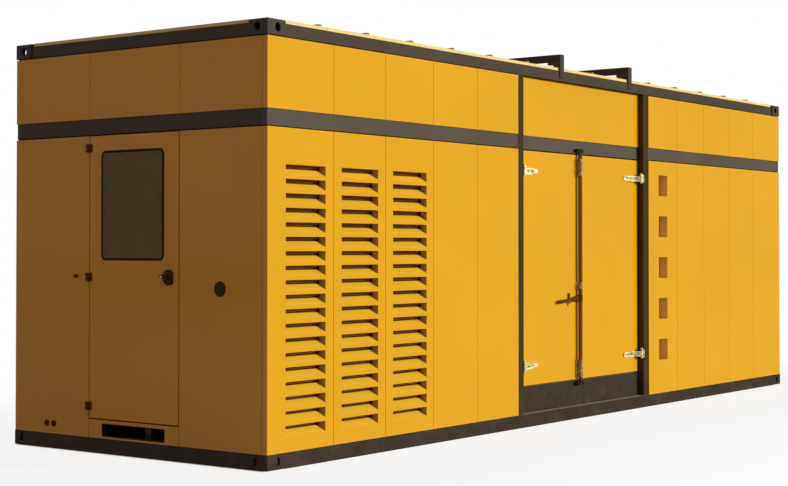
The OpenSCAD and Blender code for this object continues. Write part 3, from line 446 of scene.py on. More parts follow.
class Finish:
    """One material's node tree. Each call adds a node and gives back its output."""

    def __init__(self, name):
        self.material = bpy.data.materials.new(name)
        self.material.use_nodes = True
        self.tree = self.material.node_tree
        self.shader = self.tree.nodes["Principled BSDF"]
        coords = self.tree.nodes.new("ShaderNodeTexCoord")
        self.place = coords.outputs["Object"]
        self.normal = coords.outputs["Normal"]

    def add(self, kind, inputs, output=0, **settings):
        """Adds a node, sets its options and inputs, and gives back one of its outputs."""
        node = self.tree.nodes.new(kind)
        for key, value in settings.items():
            setattr(node, key, value)
        for key, value in inputs.items():
            self.feed(node.inputs[key], value)
        return node.outputs[output]

    def feed(self, socket, value):
        """Links an output to a socket, or sets a plain value."""
        if isinstance(value, bpy.types.NodeSocket):
            self.tree.links.new(value, socket)
        else:
            socket.default_value = value

    def set(self, **values):
        """Sets or links sockets of the shader, named with underscores for spaces."""
        for key, value in values.items():
            self.feed(self.shader.inputs[key.replace("_", " ")], value)

    def axes(self, vector):
        """X, Y and Z of a vector."""
        node = self.tree.nodes.new("ShaderNodeSeparateXYZ")
        self.tree.links.new(vector, node.inputs[0])
        return node.outputs

    def math(self, operation, a, b=0.0):
        """One step of arithmetic."""
        return self.add("ShaderNodeMath", {0: a, 1: b}, operation=operation)

    def times(self, a, b):
        """Product of two values."""
        return self.math("MULTIPLY", a, b)

    def band(self, value, low, high, to_low=0.0, to_high=1.0):
        """Smooth step from one value to another."""
        return self.add("ShaderNodeMapRange", {"Value": value, "From Min": low, "From Max": high,
                                               "To Min": to_low, "To Max": to_high},
                        interpolation_type="SMOOTHSTEP")

    def noise(self, scale, detail=3.0, stretch=(1.0, 1.0, 1.0), roughness=0.55):
        """Noise in object space, stretched along the axes."""
        spot = self.add("ShaderNodeMapping", {"Vector": self.place, "Scale": stretch})
        return self.add("ShaderNodeTexNoise", {"Vector": spot, "Scale": scale, "Detail": detail,
                                               "Roughness": roughness})

    def mix(self, factor, a, b):
        """Mix of two colours."""
        return self.add("ShaderNodeMix", {0: factor, 6: a, 7: b}, output=2, data_type="RGBA")

    def bump(self, height, strength, distance):
        """Normal bent by the slope of a height."""
        return self.add("ShaderNodeBump", {"Height": height, "Strength": strength, "Distance": distance})


def rgba(colour, scale=1.0):
    """Colour with full alpha, made lighter or darker."""
    return tuple(min(1.0, c * scale) for c in colour) + (1.0,)


def weathered(finish, colour, spread, dirt):
    """Paint colour with soft cloudy variation, faint run-down streaks and dust near the ground."""
    cloud = finish.band(finish.noise(0.9, 4.0), 0.3, 0.7)
    streak = finish.band(finish.noise(3.0, 3.0, (5.0, 5.0, 0.22)), 0.45, 0.75)
    tone = finish.mix(cloud, rgba(colour, 1.0 - spread), rgba(colour, 1.0 + spread * 0.5))
    tone = finish.mix(finish.times(streak, spread * 1.2), tone, rgba(colour, 0.72))
    low = finish.band(finish.axes(finish.place)[2], 0.10, 0.55, 1.0, 0.0)
    grime = finish.times(low, finish.band(finish.noise(6.0, 5.0), 0.42, 0.72))
    return finish.mix(finish.times(grime, dirt), tone, rgba(DUST))


def sprayed(finish, tone, coat, roughness, strength=0.10):
    """Sprayed paint with a clear coat: fine orange peel, slow waviness of the sheet and uneven gloss."""
    peel = finish.noise(260.0, 2.0)
    wave = finish.noise(1.6, 2.0, (1.0, 1.0, 0.5))
    height = finish.math("ADD", finish.times(peel, 0.12), wave)
    gloss = finish.band(finish.noise(4.0, 4.0), 0.3, 0.7, roughness - 0.06, roughness + 0.07)
    finish.set(Base_Color=tone, Specular_IOR_Level=0.0, Coat_Weight=coat, Coat_IOR=2.2, Coat_Roughness=0.10,
               Roughness=gloss, Normal=finish.bump(height, strength, 0.006))
    return finish.material


def louvre_tone(finish, paint, tone):
    """Louvre paint: a painted highlight where it faces up, painted shade on the cheeks and painted shade deep
    behind the panel.
    """
    x, y, _ = finish.axes(finish.place)
    turn_x, _, turn_z = finish.axes(finish.normal)
    # painted highlight: faces that look up are made lighter
    tone = finish.mix(finish.band(turn_z, 0.25, 0.55), tone, rgba(paint.blade_highlight))
    low, high = corners("front_louvre_panels")
    from_middle = finish.math("ABSOLUTE", finish.math("SUBTRACT", x, (low[0] + high[0]) / 2.0))
    cased = finish.math("LESS_THAN", from_middle, (high[0] - low[0]) / 2.0 - CASE_INSET)
    # painted shade: the cheeks inside the louvre cases take a duller, darker tint
    cheek_shade = finish.times(cased, finish.band(finish.math("ABSOLUTE", turn_x), 0.5, 0.8))
    tone = finish.mix(cheek_shade, tone, rgba(paint.cheek_shade))
    # painted shade: deep behind the panel's face the louvres turn dark brown
    past_side = finish.math("SUBTRACT", -low[1], finish.math("ABSOLUTE", y))
    past_end = finish.math("SUBTRACT", corners("far_end_louvre_panel")[1][0], x)
    depth = finish.math("MINIMUM", past_side, past_end)
    return finish.mix(finish.band(depth, *SHADE_DEPTHS), tone, rgba(paint.louvre_painted_shade))


def lined_tone(finish, paint, tone):
    """Panel paint with a pale perforated sheet on the faces that look into the room."""
    x, y, z = finish.axes(finish.place)
    turn_x, turn_y, turn_z = finish.axes(finish.normal)
    side = finish.math("LESS_THAN", finish.times(turn_y, y), -LINED_SIDE)
    end = finish.math("LESS_THAN", finish.times(turn_x, x), -LINED_END)
    under = finish.times(finish.math("LESS_THAN", turn_z, -0.5), finish.math("GREATER_THAN", z, LINED_ROOF))
    inside = finish.math("MAXIMUM", finish.math("MAXIMUM", side, end), under)
    holes = finish.add("ShaderNodeTexVoronoi", {"Vector": finish.place, "Scale": 90.0, "Randomness": 0.0})
    sheet = finish.mix(finish.band(holes, 0.22, 0.34), rgba(paint.liner, 0.35), rgba(paint.liner))
    return finish.mix(inside, tone, sheet)


def panel_finish(name, paint, lined=False, louvred=False, edge=None, side=None):
    """Glossy panel paint; faces to the room may be lined, louvres get painted highlight and painted shade,
    upright edges a tint that is a painted highlight on the roof and painted shade on the ribs, and sides a
    tint of painted bounce light.
    """
    finish = Finish(name)
    tone = weathered(finish, paint.panel, 0.025, 0.03)
    # sides facing along X take a paler tint: painted bounce light
    if side:
        turn = finish.math("ABSOLUTE", finish.axes(finish.normal)[0])
        tone = finish.mix(finish.band(turn, 0.5, 0.8), tone, rgba(side))
    # upright faces take the edge tint: a painted highlight on roof edges, painted shade on rib sides
    if edge:
        level = finish.math("ABSOLUTE", finish.axes(finish.normal)[2])
        tone = finish.mix(finish.band(level, 0.4, 0.7), rgba(edge), tone)
    if louvred:
        tone = louvre_tone(finish, paint, tone)
    if lined:
        tone = lined_tone(finish, paint, tone)
    return sprayed(finish, tone, 0.13, 0.66)


def rod_finish(paint):
    """Dirty paint on the lock rod, with black ends that stand in the keepers."""
    finish = Finish("rod_paint")
    height = finish.axes(finish.place)[2]
    ends = finish.math("MAXIMUM", finish.math("GREATER_THAN", height, ROD_END_TOP),
                       finish.math("LESS_THAN", height, ROD_END_FOOT))
    tone = finish.mix(ends, weathered(finish, paint.rod, 0.10, 0.03), rgba(paint.fitting))
    return sprayed(finish, tone, 0.13, 0.60)


def steel_finish(name, colour, roughness, ledge_dust_and_highlight=None):
    """Painted steel sections: mottled paint with worn, paler patches; upper faces may get pale dust with a
    painted highlight.
    """
    finish = Finish(name)
    tone = weathered(finish, colour, 0.10, 0.08)
    worn = finish.band(finish.noise(11.0, 6.0, (0.5, 1.0, 1.0), 0.7), 0.60, 0.74)
    tone = finish.mix(finish.times(worn, 0.20), tone, rgba(colour, 1.6))
    # upper faces turn pale: dust and a painted highlight
    if ledge_dust_and_highlight:
        tone = finish.mix(finish.band(finish.axes(finish.normal)[2], 0.6, 0.9), tone, rgba(ledge_dust_and_highlight))
    return sprayed(finish, tone, 0.05, roughness, 0.16)


def fitting_finish(name, colour, roughness):
    """Small dark fittings: powder coat with a fine grain and rubbed spots."""
    finish = Finish(name)
    rubbed = finish.band(finish.noise(45.0, 5.0), 0.58, 0.72)
    tone = finish.mix(finish.times(rubbed, 0.45), rgba(colour), rgba(colour, 2.2))
    grain = finish.noise(420.0, 2.0)
    finish.set(Base_Color=tone, Specular_IOR_Level=0.05, Normal=finish.bump(grain, 0.18, 0.002),
               Roughness=finish.band(rubbed, 0.0, 1.0, roughness, roughness - 0.12))
    return finish.material


def zinc_finish(paint):
    """Bright zinc plating: dull streaks along the straps and fine drawn lines."""
    finish = Finish("bright_zinc")
    streak = finish.band(finish.noise(42.0, 4.0, (0.2, 1.0, 2.0)), 0.38, 0.62)
    lines = finish.noise(120.0, 3.0, (0.15, 1.0, 2.5))
    tone = finish.mix(streak, rgba(paint.zinc, 0.40), rgba(paint.zinc, 1.40))
    finish.set(Base_Color=tone, Metallic=0.80, Normal=finish.bump(lines, 0.08, 0.002),
               Roughness=finish.band(lines, 0.3, 0.7, 0.26, 0.42))
    return finish.material


def guide_finish(paint):
    """Rod guides in dull, speckled plating whose bright specks are partly painted glints; the catch, left of
    the rod, is brown on a painted foot.
    """
    finish = Finish("guide_plating")
    # bright specks: plating and painted glints
    plating_and_glint_speck = finish.band(finish.noise(60.0, 4.0, (1.0, 1.0, 0.6)), 0.50, 0.62)
    tone = finish.mix(plating_and_glint_speck, rgba(paint.guide), rgba(paint.zinc, 1.25))
    x, _, z = finish.axes(finish.place)
    catch = finish.mix(finish.math("GREATER_THAN", z, CATCH_FOOT), rgba(paint.panel), rgba(paint.handle))
    tone = finish.mix(finish.math("LESS_THAN", x, CATCH_X), tone, catch)
    finish.set(Base_Color=tone, Specular_IOR_Level=0.1, Normal=finish.bump(plating_and_glint_speck, 0.2, 0.002),
               Roughness=finish.band(plating_and_glint_speck, 0.0, 1.0, 0.55, 0.32))
    return finish.material


def deck_finish(paint):
    """Tread plate: rows of raised lens shapes that turn by a quarter from cell to cell."""
    finish = Finish("tread_plate")
    pitch = 0.042
    long_way, short_way = 2.4, 6.4    # one over half a lens's length and width, in cells
    x, y, _ = finish.axes(finish.place)
    u = finish.math("DIVIDE", finish.math("ADD", x, y), pitch)
    v = finish.math("DIVIDE", finish.math("SUBTRACT", x, y), pitch)
    cell_u = finish.math("SUBTRACT", finish.math("FRACT", u), 0.5)
    cell_v = finish.math("SUBTRACT", finish.math("FRACT", v), 0.5)
    parity = finish.math("ADD", finish.math("FLOOR", u), finish.math("FLOOR", v))
    turn = finish.times(finish.math("ABSOLUTE", finish.math("MODULO", parity, 2.0)), short_way - long_way)
    steep = finish.math("ADD", long_way, turn)
    flat = finish.math("SUBTRACT", short_way, turn)
    reach = finish.math("ADD", finish.math("POWER", finish.times(cell_u, steep), 2.0),
                        finish.math("POWER", finish.times(cell_v, flat), 2.0))
    raised = finish.band(reach, 0.7, 1.05, 1.0, 0.0)
    wear = finish.times(raised, finish.band(finish.noise(5.0, 4.0), 0.4, 0.7))
    finish.set(Base_Color=finish.mix(wear, rgba(paint.deck), rgba(paint.deck, 1.7)), Metallic=0.35,
               Roughness=finish.band(wear, 0.0, 1.0, 0.55, 0.34), Normal=finish.bump(raised, 0.7, 0.003))
    return finish.material


def rubber_finish(name, colour):
    """Rubber: dusty black with a fine grain."""
    finish = Finish(name)
    dusty = finish.band(finish.noise(24.0, 5.0), 0.45, 0.75)
    tone = finish.mix(finish.times(dusty, 0.35), rgba(colour), rgba(colour, 2.4))
    grain = finish.noise(300.0, 2.0)
    finish.set(Base_Color=tone, Specular_IOR_Level=0.05, Normal=finish.bump(grain, 0.2, 0.002),
               Roughness=finish.band(dusty, 0.0, 1.0, 0.62, 0.85))
    return finish.material


def glass_finish(paint):
    """Brown tinted pane with a thin uneven film of dust."""
    finish = Finish("tinted_pane")
    film = finish.band(finish.noise(7.0, 6.0, (1.0, 1.0, 0.5)), 0.4, 0.8)
    tone = finish.mix(film, rgba(paint.glass, 0.92), rgba(paint.glass, 1.12))
    finish.set(Base_Color=tone, Roughness=finish.band(film, 0.0, 1.0, 0.08, 0.16), Transmission_Weight=0.10,
               Specular_IOR_Level=0.03, IOR=1.5)
    return finish.material


def screen_finish(paint):
    """Pleated louvre screen: woven wire, as two crossed rows of fine waves."""
    finish = Finish("louvre_screen")
    x, y, z = finish.axes(finish.place)
    pitch = 0.006
    turns = 2.0 * math.pi / pitch
    across = finish.math("SINE", finish.times(finish.math("ADD", x, y), turns))
    upright = finish.math("SINE", finish.times(z, turns))
    weave = finish.band(finish.times(across, upright), -0.8, 0.8)
    tone = finish.mix(weave, rgba(paint.screen, 0.7), rgba(paint.screen, 1.2))
    finish.set(Base_Color=tone, Specular_IOR_Level=0.1, Normal=finish.bump(weave, 0.4, 0.001),
               Roughness=finish.band(weave, 0.0, 1.0, 0.85, 0.65))
    return finish.material


PAINTED = {
    "panel": ["front_plain_panels", "foothold_panel", "side_upper_panels", "bay_upper_panel",
              "back_plain_panels", "door_end_panels", "under_door_panel", "far_end_panels",
              "end_door_leaf", "left_door_leaf", "right_door_leaf"],
    "louvre": ["front_louvre_panels", "back_louvre_panels", "far_end_louvre_panel"],
    "roof": ["roof_panels"],
    "rib": ["roof_ribs"],
    "pocket": ["foothold_pockets"],
    "rod": ["lock_rod"],
    # the end waist rails take the darker top rail paint as painted shade
    "top": ["top_rails", "end_waist_rails"],
    "rail": ["side_waist_rails", "wall_girts", "wall_studs", "door_stops", "end_door_frame", "floor_joists"],
    "post": ["frame_posts"],
    "base": ["base_rails", "base_cross_members", "bottom_corner_castings", "door_sill"],
    "casting": ["top_corner_castings", "roof_beam_legs"],
    "beam": ["roof_beams"],
    "fitting": ["end_door_handle", "lock_handle", "rod_keepers", "pipe_sockets"],
    "hinge": ["end_hinge_frames", "end_hinge_leaves"],
    "zinc": ["left_door_straps", "right_door_straps", "hinge_lugs"],
    "guide": ["lock_brackets"],
    "deck": ["floor_deck"],
    "rubber": ["end_door_gasket", "round_cap"],
    "buffer": ["door_buffer"],
    "glass": ["end_door_glass"],
}


class GENSET_OT_paint_frame(bpy.types.Operator):
    """Makes the finishes and paints the frame's own pieces with them"""

    bl_idname = "genset.paint_frame"
    bl_label = "Paint the frame"

    def execute(self, context):
        paint = context.scene.genset_paint
        FINISHES.update(
            panel=panel_finish("panel_paint_lined", paint, lined=True),
            plain=panel_finish("panel_paint_plain", paint),
            louvre=panel_finish("louvre_paint", paint, louvred=True),
            # roof edges get a painted highlight, rib sides painted shade and pocket sides painted bounce
            # light
            roof=panel_finish("roof_paint", paint, lined=True, edge=paint.roof),
            rib=panel_finish("rib_paint", paint, edge=paint.rib),
            pocket=panel_finish("pocket_paint", paint, side=paint.pocket),
            rod=rod_finish(paint),
            rail=steel_finish("rail_paint", paint.rail, 0.50),
            top=steel_finish("top_rail_paint", paint.top, 0.50),
            base=steel_finish("base_paint", paint.base, 0.58, ledge_dust_and_highlight=paint.ledge_dust_and_highlight),
            post=steel_finish("post_paint", paint.post, 0.58),
            casting=steel_finish("casting_paint", paint.casting, 0.55),
            beam=steel_finish("beam_paint", paint.beam, 0.52),
            fitting=fitting_finish("black_fittings", paint.fitting, 0.45),
            handle=fitting_finish("handle_paint", paint.handle, 0.60),
            hinge=fitting_finish("hinge_paint", paint.hinge, 0.55),
            zinc=zinc_finish(paint),
            guide=guide_finish(paint),
            deck=deck_finish(paint),
            rubber=rubber_finish("seal_rubber", paint.rubber),
            cap=rubber_finish("cap_rubber", paint.cap),
            lip=rubber_finish("lip_rubber", paint.lip),
            buffer=rubber_finish("buffer_rubber", paint.buffer),
            plug=rubber_finish("plug_rubber", paint.plug),
            screen=screen_finish(paint),
            glass=glass_finish(paint),
        )
        for finish, names in PAINTED.items():
            for name in names:
                node = frame["nodes"][name]
                node.data.materials.clear()
                node.data.materials.append(FINISHES[finish])
        bare = set(frame["nodes"]) - {name for names in PAINTED.values() for name in names}
        if bare:
            raise RuntimeError(f"frame pieces without a finish: {sorted(bare)}")
        return {"FINISHED"}


class GENSET_OT_window_gasket(bpy.types.Operator):
    """Rubber section round the personnel door's window, with an inner lip on the glass"""

    bl_idname = "genset.window_gasket"
    bl_label = "Window gasket"

    def execute(self, context):
        low, high = corners("end_door_gasket")
        pane_low, pane_high = corners("end_door_glass")
        reach = (high - pane_high)[1]
        proud = high[0] - low[0]
        centre = end_seat(low, high)
        half = (pane_high - pane_low)[1:] / 2.0
        angle = np.linspace(0.0, np.pi, 11)
        bead = np.stack([reach * (0.45 + 0.55 * np.cos(angle)), proud * np.sin(angle)], -1)
        slope = np.array([(0.0, 0.0), (0.0, 0.55), (-0.55, 0.50), (-0.95, 0.30), (-1.0, 0.0)])
        gasket = framed(centre, half, GASKET_R, ACROSS, DOOR_END, bead)
        add_piece("window_gasket", gasket, "rubber", "end_door", ["end_door_gasket"])
        lip = framed(centre, half, GASKET_R, ACROSS, DOOR_END, slope * [reach, proud])
        add_piece("gasket_lip", lip, "lip", "end_door")
        return {"FINISHED"}


class GENSET_OT_louvre_screens(bpy.types.Operator):
    """Pleated screens on the backs of the louvre cases"""

    bl_idname = "genset.louvre_screens"
    bl_label = "Louvre screens"

    def execute(self, context):
        trim = context.scene.genset_trim
        sheet = trim.pleat, trim.screen_t
        half_h = (LOUVRE_TOP - LOUVRE_FOOT) / 2.0
        middle = (LOUVRE_TOP + LOUVRE_FOOT) / 2.0
        half = SIDE_LOUVRE_W / 2.0, half_h
        screens = []
        for node, out, edge in (("front_louvre_panels", FRONT, 1), ("back_louvre_panels", BACK, 0)):
            back = corners(node)[edge][1]
            for x in LOUVRE_MIDDLES:
                screens.append(pleated([x, back, middle], half, ALONG, out, SIDE_FOLDS, *sheet))
        back = corners("far_end_louvre_panel")[0][0]
        half = END_LOUVRE_W / 2.0, half_h
        screens.append(pleated([back, 0.0, middle], half, ACROSS, ALONG, END_FOLDS, *sheet))
        add_piece("louvre_screens", joined(*screens), "screen", "enclosure")
        return {"FINISHED"}


class GENSET_OT_casting_plugs(bpy.types.Operator):
    """Blanking plugs in the side holes of the bottom corner castings"""

    bl_idname = "genset.casting_plugs"
    bl_label = "Casting plugs"

    def execute(self, context):
        trim = context.scene.genset_trim
        low, high = corners("bottom_corner_castings")
        middle = (low[2] + high[2]) / 2.0
        columns = low[0] + SLOT_END, high[0] - SLOT_END
        rows = low[1] + SLOT_SIDE, high[1] - SLOT_SIDE
        profile = [(HOLE_R, -trim.plug_t), (HOLE_R, -SINK), (HOLE_R * 0.98, 0.0), (HOLE_R * 0.4, 0.0)]
        plugs = []
        for side in (-1.0, 1.0):
            end_x, wall_y = side * (high[:2] - trim.plug_set)
            plugs.append(turned([[x, wall_y, middle] for x in columns], side * ACROSS, profile, trim.sides))
            plugs.append(turned([[end_x, y, middle] for y in rows], side * ALONG, profile, trim.sides))
        add_piece("casting_plugs", joined(*plugs), "base", "enclosure")
        return {"FINISHED"}


class GENSET_OT_slot_edging(bpy.types.Operator):
    """Rubber sleeve that lines the cable slot under the personnel door, with a narrow lip on the panel"""

    bl_idname = "genset.slot_edging"
    bl_label = "Slot edging"

    def execute(self, context):
        trim = context.scene.genset_trim
        low, high = corners("under_door_panel")
        centre = [low[0], 0.0, (SLOT_FOOT + SLOT_TOP) / 2.0]
        half = (SLOT_HALF_W, (SLOT_TOP - SLOT_FOOT) / 2.0)
        wall, lip, proud = trim.sleeve_t, 2.0 * trim.sleeve_t, trim.sleeve_t
        back = low[0] - high[0]
        sleeve = [(0.0, back), (-wall, back), (-wall, 0.5 * proud), (0.0, proud), (lip * 0.7, proud),
                  (lip, 0.0), (0.0, 0.0)]
        shape = framed(centre, half, SLOT_R, ACROSS, DOOR_END, sleeve, arc_steps=5)
        add_piece("slot_edging", shape, "rubber", "enclosure")
        return {"FINISHED"}


class GENSET_OT_corner_packers(bpy.types.Operator):
    """Rubber packers that close the seams over the wall panels at the four corners"""

    bl_idname = "genset.corner_packers"
    bl_label = "Corner packers"

    def execute(self, context):
        trim = context.scene.genset_trim
        inner = corners("wall_girts")[1][:2]
        rail_low, rail_high = corners("side_waist_rails")
        outer = rail_high[:2] - trim.packer_set
        seams = np.array([[corners("front_louvre_panels")[1][2], rail_low[2]],
                          [corners("side_upper_panels")[1][2], corners("top_corner_castings")[0][2]]])
        signs = np.array([[-1.0, -1.0], [-1.0, 1.0], [1.0, -1.0], [1.0, 1.0]])
        low = np.repeat(np.minimum(signs * inner, signs * outer), len(seams), axis=0)
        high = np.repeat(np.maximum(signs * inner, signs * outer), len(seams), axis=0)
        rows = np.tile(seams, (len(signs), 1))
        blocks = slabs(np.column_stack([low, rows[:, 0]]), np.column_stack([high, rows[:, 1]]))
        add_piece("corner_packers", blocks, "rubber", "enclosure")
        return {"FINISHED"}


class GENSET_OT_door_seals(bpy.types.Operator):
    """Half-round rubber seals on the stops that the doors close against"""

    bl_idname = "genset.door_seals"
    bl_label = "Door seals"

    def execute(self, context):
        trim = context.scene.genset_trim
        inset = trim.seal_w * SEAL_INSET
        low, _ = corners("left_door_leaf")
        _, high = corners("right_door_leaf")
        face = corners("door_stops")[0][1]
        centre = [(low[0] + high[0]) / 2.0, face, (low[2] + high[2]) / 2.0]
        half = (high - low)[[0, 2]] / 2.0 - inset
        bay = framed(centre, half, SEAL_R, ALONG, FRONT, half_round(trim.seal_w, trim.seal_t))
        add_piece("double_door_seal", bay, "rubber", "enclosure")
        low, high = corners("end_door_leaf")
        face = corners("end_door_frame")[0][0]
        centre = [face, 0.0, (low[2] + high[2]) / 2.0]
        half = (high - low)[1:] / 2.0 - inset
        section = half_round(trim.seal_w * END_SEAL_SHARE, trim.end_seal_t)
        end = framed(centre, half, SEAL_R, ACROSS, DOOR_END, section)
        add_piece("end_door_seal", end, "rubber", "enclosure")
        return {"FINISHED"}


class GENSET_OT_cover_strips(bpy.types.Operator):
    """Folded cover strips beside the double door's meeting line and on the personnel door's latch edge"""

    bl_idname = "genset.cover_strips"
    bl_label = "Cover strips"

    def execute(self, context):
        trim = context.scene.genset_trim
        inset = np.array([0.0, 0.0, trim.strip_t])
        low, high = corners("right_door_leaf")
        start = np.array([low[0], low[1] - trim.strip_t, low[2]]) + inset
        stop = np.array([low[0] + trim.cover_w, low[1], high[2]]) - inset
        add_piece("meeting_strip", slabs(start, stop), "plain", "right_door", bevel=trim.edge)
        low, high = corners("end_door_leaf")
        start = np.array([low[0] - trim.strip_t, low[1], low[2]]) + inset
        stop = np.array([low[0], low[1] + trim.latch_w, high[2]]) - inset
        add_piece("latch_strip", slabs(start, stop), "plain", "end_door", bevel=trim.edge)
        return {"FINISHED"}


class GENSET_OT_bolts(bpy.types.Operator):
    """Bolt, pin and screw heads on the strap hinges, hinge lugs, roof beam tabs and small hinges"""

    bl_idname = "genset.bolts"
    bl_label = "Bolts and screws"

    def strap_bolts(self, trim):
        """Three bolts along each of the double door's straps, from the knuckle outwards."""
        head = head_profile(trim.bolt_r, trim.bolt_h)
        face = corners("left_door_leaf")[0][1] - STRAP_T
        for side, edge, away in (("left", 0, 1.0), ("right", 1, -1.0)):
            box = corners(f"{side}_door_straps")
            rows = [box[0][2] + STRAP_HALF, box[1][2] - STRAP_HALF]
            bolts = turned(wall_grid(box[edge][0] + away * STRAP_BOLTS, face, rows), FRONT, head, 6)
            add_piece(f"{side}_strap_bolts", bolts, "zinc", f"{side}_door")

    def pin_heads(self, trim):
        """A round head on the pin of each of the double door's hinges."""
        top = corners("hinge_lugs")[1][2]
        strap_low, strap_high = corners("left_door_straps")
        rise = top - (strap_high[2] - STRAP_HALF)
        left, right = joint_place("left_door_hinge"), joint_place("right_door_hinge")
        pins = wall_grid([left[0], right[0]], left[1], [strap_low[2] + STRAP_HALF + rise, top])
        t = np.linspace(0.0, np.pi / 2.0, 7)
        button = np.stack([trim.pin_r * np.cos(t) + SINK, trim.pin_h * np.sin(t)], -1)
        add_piece("hinge_pin_heads", turned(pins, UP, button, 20), "zinc", "enclosure")

    def tab_bolts(self, trim):
        """Two bolts in each tab under the ends of the roof beams."""
        leg_low, leg_high = corners("roof_beam_legs")
        beam_low, beam_high = corners("roof_beams")
        columns = [beam_low[0] + BEAM_HALF, beam_high[0] - BEAM_HALF]
        rows = leg_low[2] + TAB_ROWS
        head = head_profile(trim.tab_bolt_r, trim.tab_bolt_h)
        front = turned(wall_grid(columns, leg_low[1], rows), FRONT, head, 6)
        back = turned(wall_grid(columns, leg_high[1], rows), BACK, head, 6)
        add_piece("beam_tab_bolts", joined(front, back), "fitting", "enclosure")

    def hinge_screws(self, trim):
        """Two screws in each plate of the personnel door's small hinges."""
        low, high = corners("end_hinge_frames")
        leaf_edge = corners("end_hinge_leaves")[0][1]
        middles = [low[2] + HINGE_HALF, (low[2] + high[2]) / 2.0, high[2] - HINGE_HALF]
        rows = np.add.outer(middles, [-HINGE_SCREW_Z, HINGE_SCREW_Z]).ravel()
        screw = head_profile(trim.screw_r, trim.screw_h)
        face = corners("end_door_leaf")[0][0] - HINGE_T
        for name, y, body in (("frame_hinge_screws", high[1] - HINGE_SCREW_Y, "enclosure"),
                              ("leaf_hinge_screws", leaf_edge + HINGE_SCREW_Y, "end_door")):
            screws = turned([[face, y, z] for z in rows], DOOR_END, screw, 12)
            add_piece(name, screws, "hinge", body)

    def execute(self, context):
        trim = context.scene.genset_trim
        self.strap_bolts(trim)
        self.pin_heads(trim)
        self.tab_bolts(trim)
        self.hinge_screws(trim)
        return {"FINISHED"}


class GENSET_OT_lock_lever(bpy.types.Operator):
    """Lock rod's handle: a clamped hub and a forged bar, broad at its root, with a rounded grip"""

    bl_idname = "genset.lock_lever"
    bl_label = "Lock rod handle"

    def execute(self, context):
        trim = context.scene.genset_trim
        low, high = corners("lock_handle")
        rod_low, rod_high = corners("lock_rod")
        axis_x, axis_y = (rod_low + rod_high)[:2] / 2.0
        hub_z, tip_z = high[2] - LEVER_HALF, low[2] + LEVER_HALF
        hub = np.array([(0.72, -1.0), (0.92, -1.0), (1.0, -0.8), (1.0, 0.8), (0.92, 1.0), (0.72, 1.0)])
        hub_size = [high[0] - axis_x, LEVER_HALF * 1.7]
        collar = turned([axis_x, axis_y, hub_z], UP, hub * hub_size, trim.sides)
        t = np.linspace(0.0, 1.0, 28)
        reach = axis_x - low[0]
        x = axis_x - trim.bar_root - t * (reach - trim.bar_root)
        path = np.stack([x, np.full_like(t, axis_y), hub_z + t * (tip_z - hub_z)], -1)
        tip = round_end(t, 0.94, 0.062)
        swell = trim.bar_swell * np.exp(-((t / 0.17) ** 2))
        wide = (LEVER_HALF * (0.92 + 0.08 * np.cos(2.0 * np.pi * t)) + swell) * tip
        thick = trim.bar_half_t * (1.0 - 0.1 * np.cos(np.pi * t)) * (0.25 + 0.75 * tip)
        bar = limb(path, wide, thick, UP, ACROSS)
        add_piece("lock_lever", joined(collar, bar), "handle", "locking_bar", ["lock_handle"])
        return {"FINISHED"}


class GENSET_OT_door_lever(bpy.types.Operator):
    """Personnel door's handle: a domed rose with a flat side and a point, a neck, a lever and a key"""

    bl_idname = "genset.door_lever"
    bl_label = "Door lever"

    def rose(self, trim, middle, radius):
        """Pressed plate: a circle with a flat side, drawn out to a point by its two tangents."""
        angle = np.linspace(0.0, 2.0 * np.pi, 72, endpoint=False)
        slant = math.acos(radius / trim.rose_point)
        tilt = trim.lever_rise / trim.rose_point
        from_point = np.abs((angle - tilt + np.pi) % (2.0 * np.pi) - np.pi)
        reach = radius / np.cos(np.clip(slant - from_point, 0.0, None))
        rim = np.stack([np.maximum(reach * np.cos(angle), -trim.rose_flat), reach * np.sin(angle)], -1)
        profile = [(0.99, 0.0), (1.0, 0.3), (0.985, 0.7), (0.94, 0.92), (0.86, 1.0)]
        return pressed(middle, rim, profile, trim.rose_t)

    def lever(self, trim, middle, proud, half_t):
        """Tapered limb that curves up to its tip, with rounded ends."""
        t = np.linspace(0.0, 1.0, 24)
        along = -trim.lever_tail + t * (trim.lever_l + trim.lever_tail)
        lift = trim.lever_rise * t * t
        path = middle + along[:, None] * ACROSS + lift[:, None] * UP + (proud - half_t) * DOOR_END
        ends = round_end(t, 0.10, -0.101) * round_end(t, 0.93, 0.071)
        wide = (trim.lever_half - trim.lever_taper * t) * ends
        return limb(path, wide, half_t * (0.3 + 0.7 * ends), UP, DOOR_END)

    def execute(self, context):
        trim = context.scene.genset_trim
        low, high = corners("end_door_handle")
        middle = np.array([high[0], low[1] + trim.rose_flat, (low[2] + high[2]) / 2.0])
        proud = high[0] - low[0]
        half_t = trim.lever_t / 2.0
        rose = self.rose(trim, middle, (high[2] - low[2]) / 2.0)
        flare = [(trim.neck_r * 1.3, trim.rose_t * 0.8), (trim.neck_r, trim.rose_t * 1.4),
                 (trim.neck_r, proud - half_t * 0.6)]
        neck = turned(middle, DOOR_END, flare, trim.sides)
        handle = joined(rose, neck, self.lever(trim, middle, proud, half_t))
        add_piece("door_lever", handle, "fitting", "end_door", ["end_door_handle"])
        lock = middle + trim.key_y * ACROSS + trim.key_z * UP + (proud - SINK) * DOOR_END
        key = turned(lock, DOOR_END, head_profile(trim.key_r, trim.key_t), 24)
        add_piece("key_cylinder", key, "zinc", "end_door")
        return {"FINISHED"}


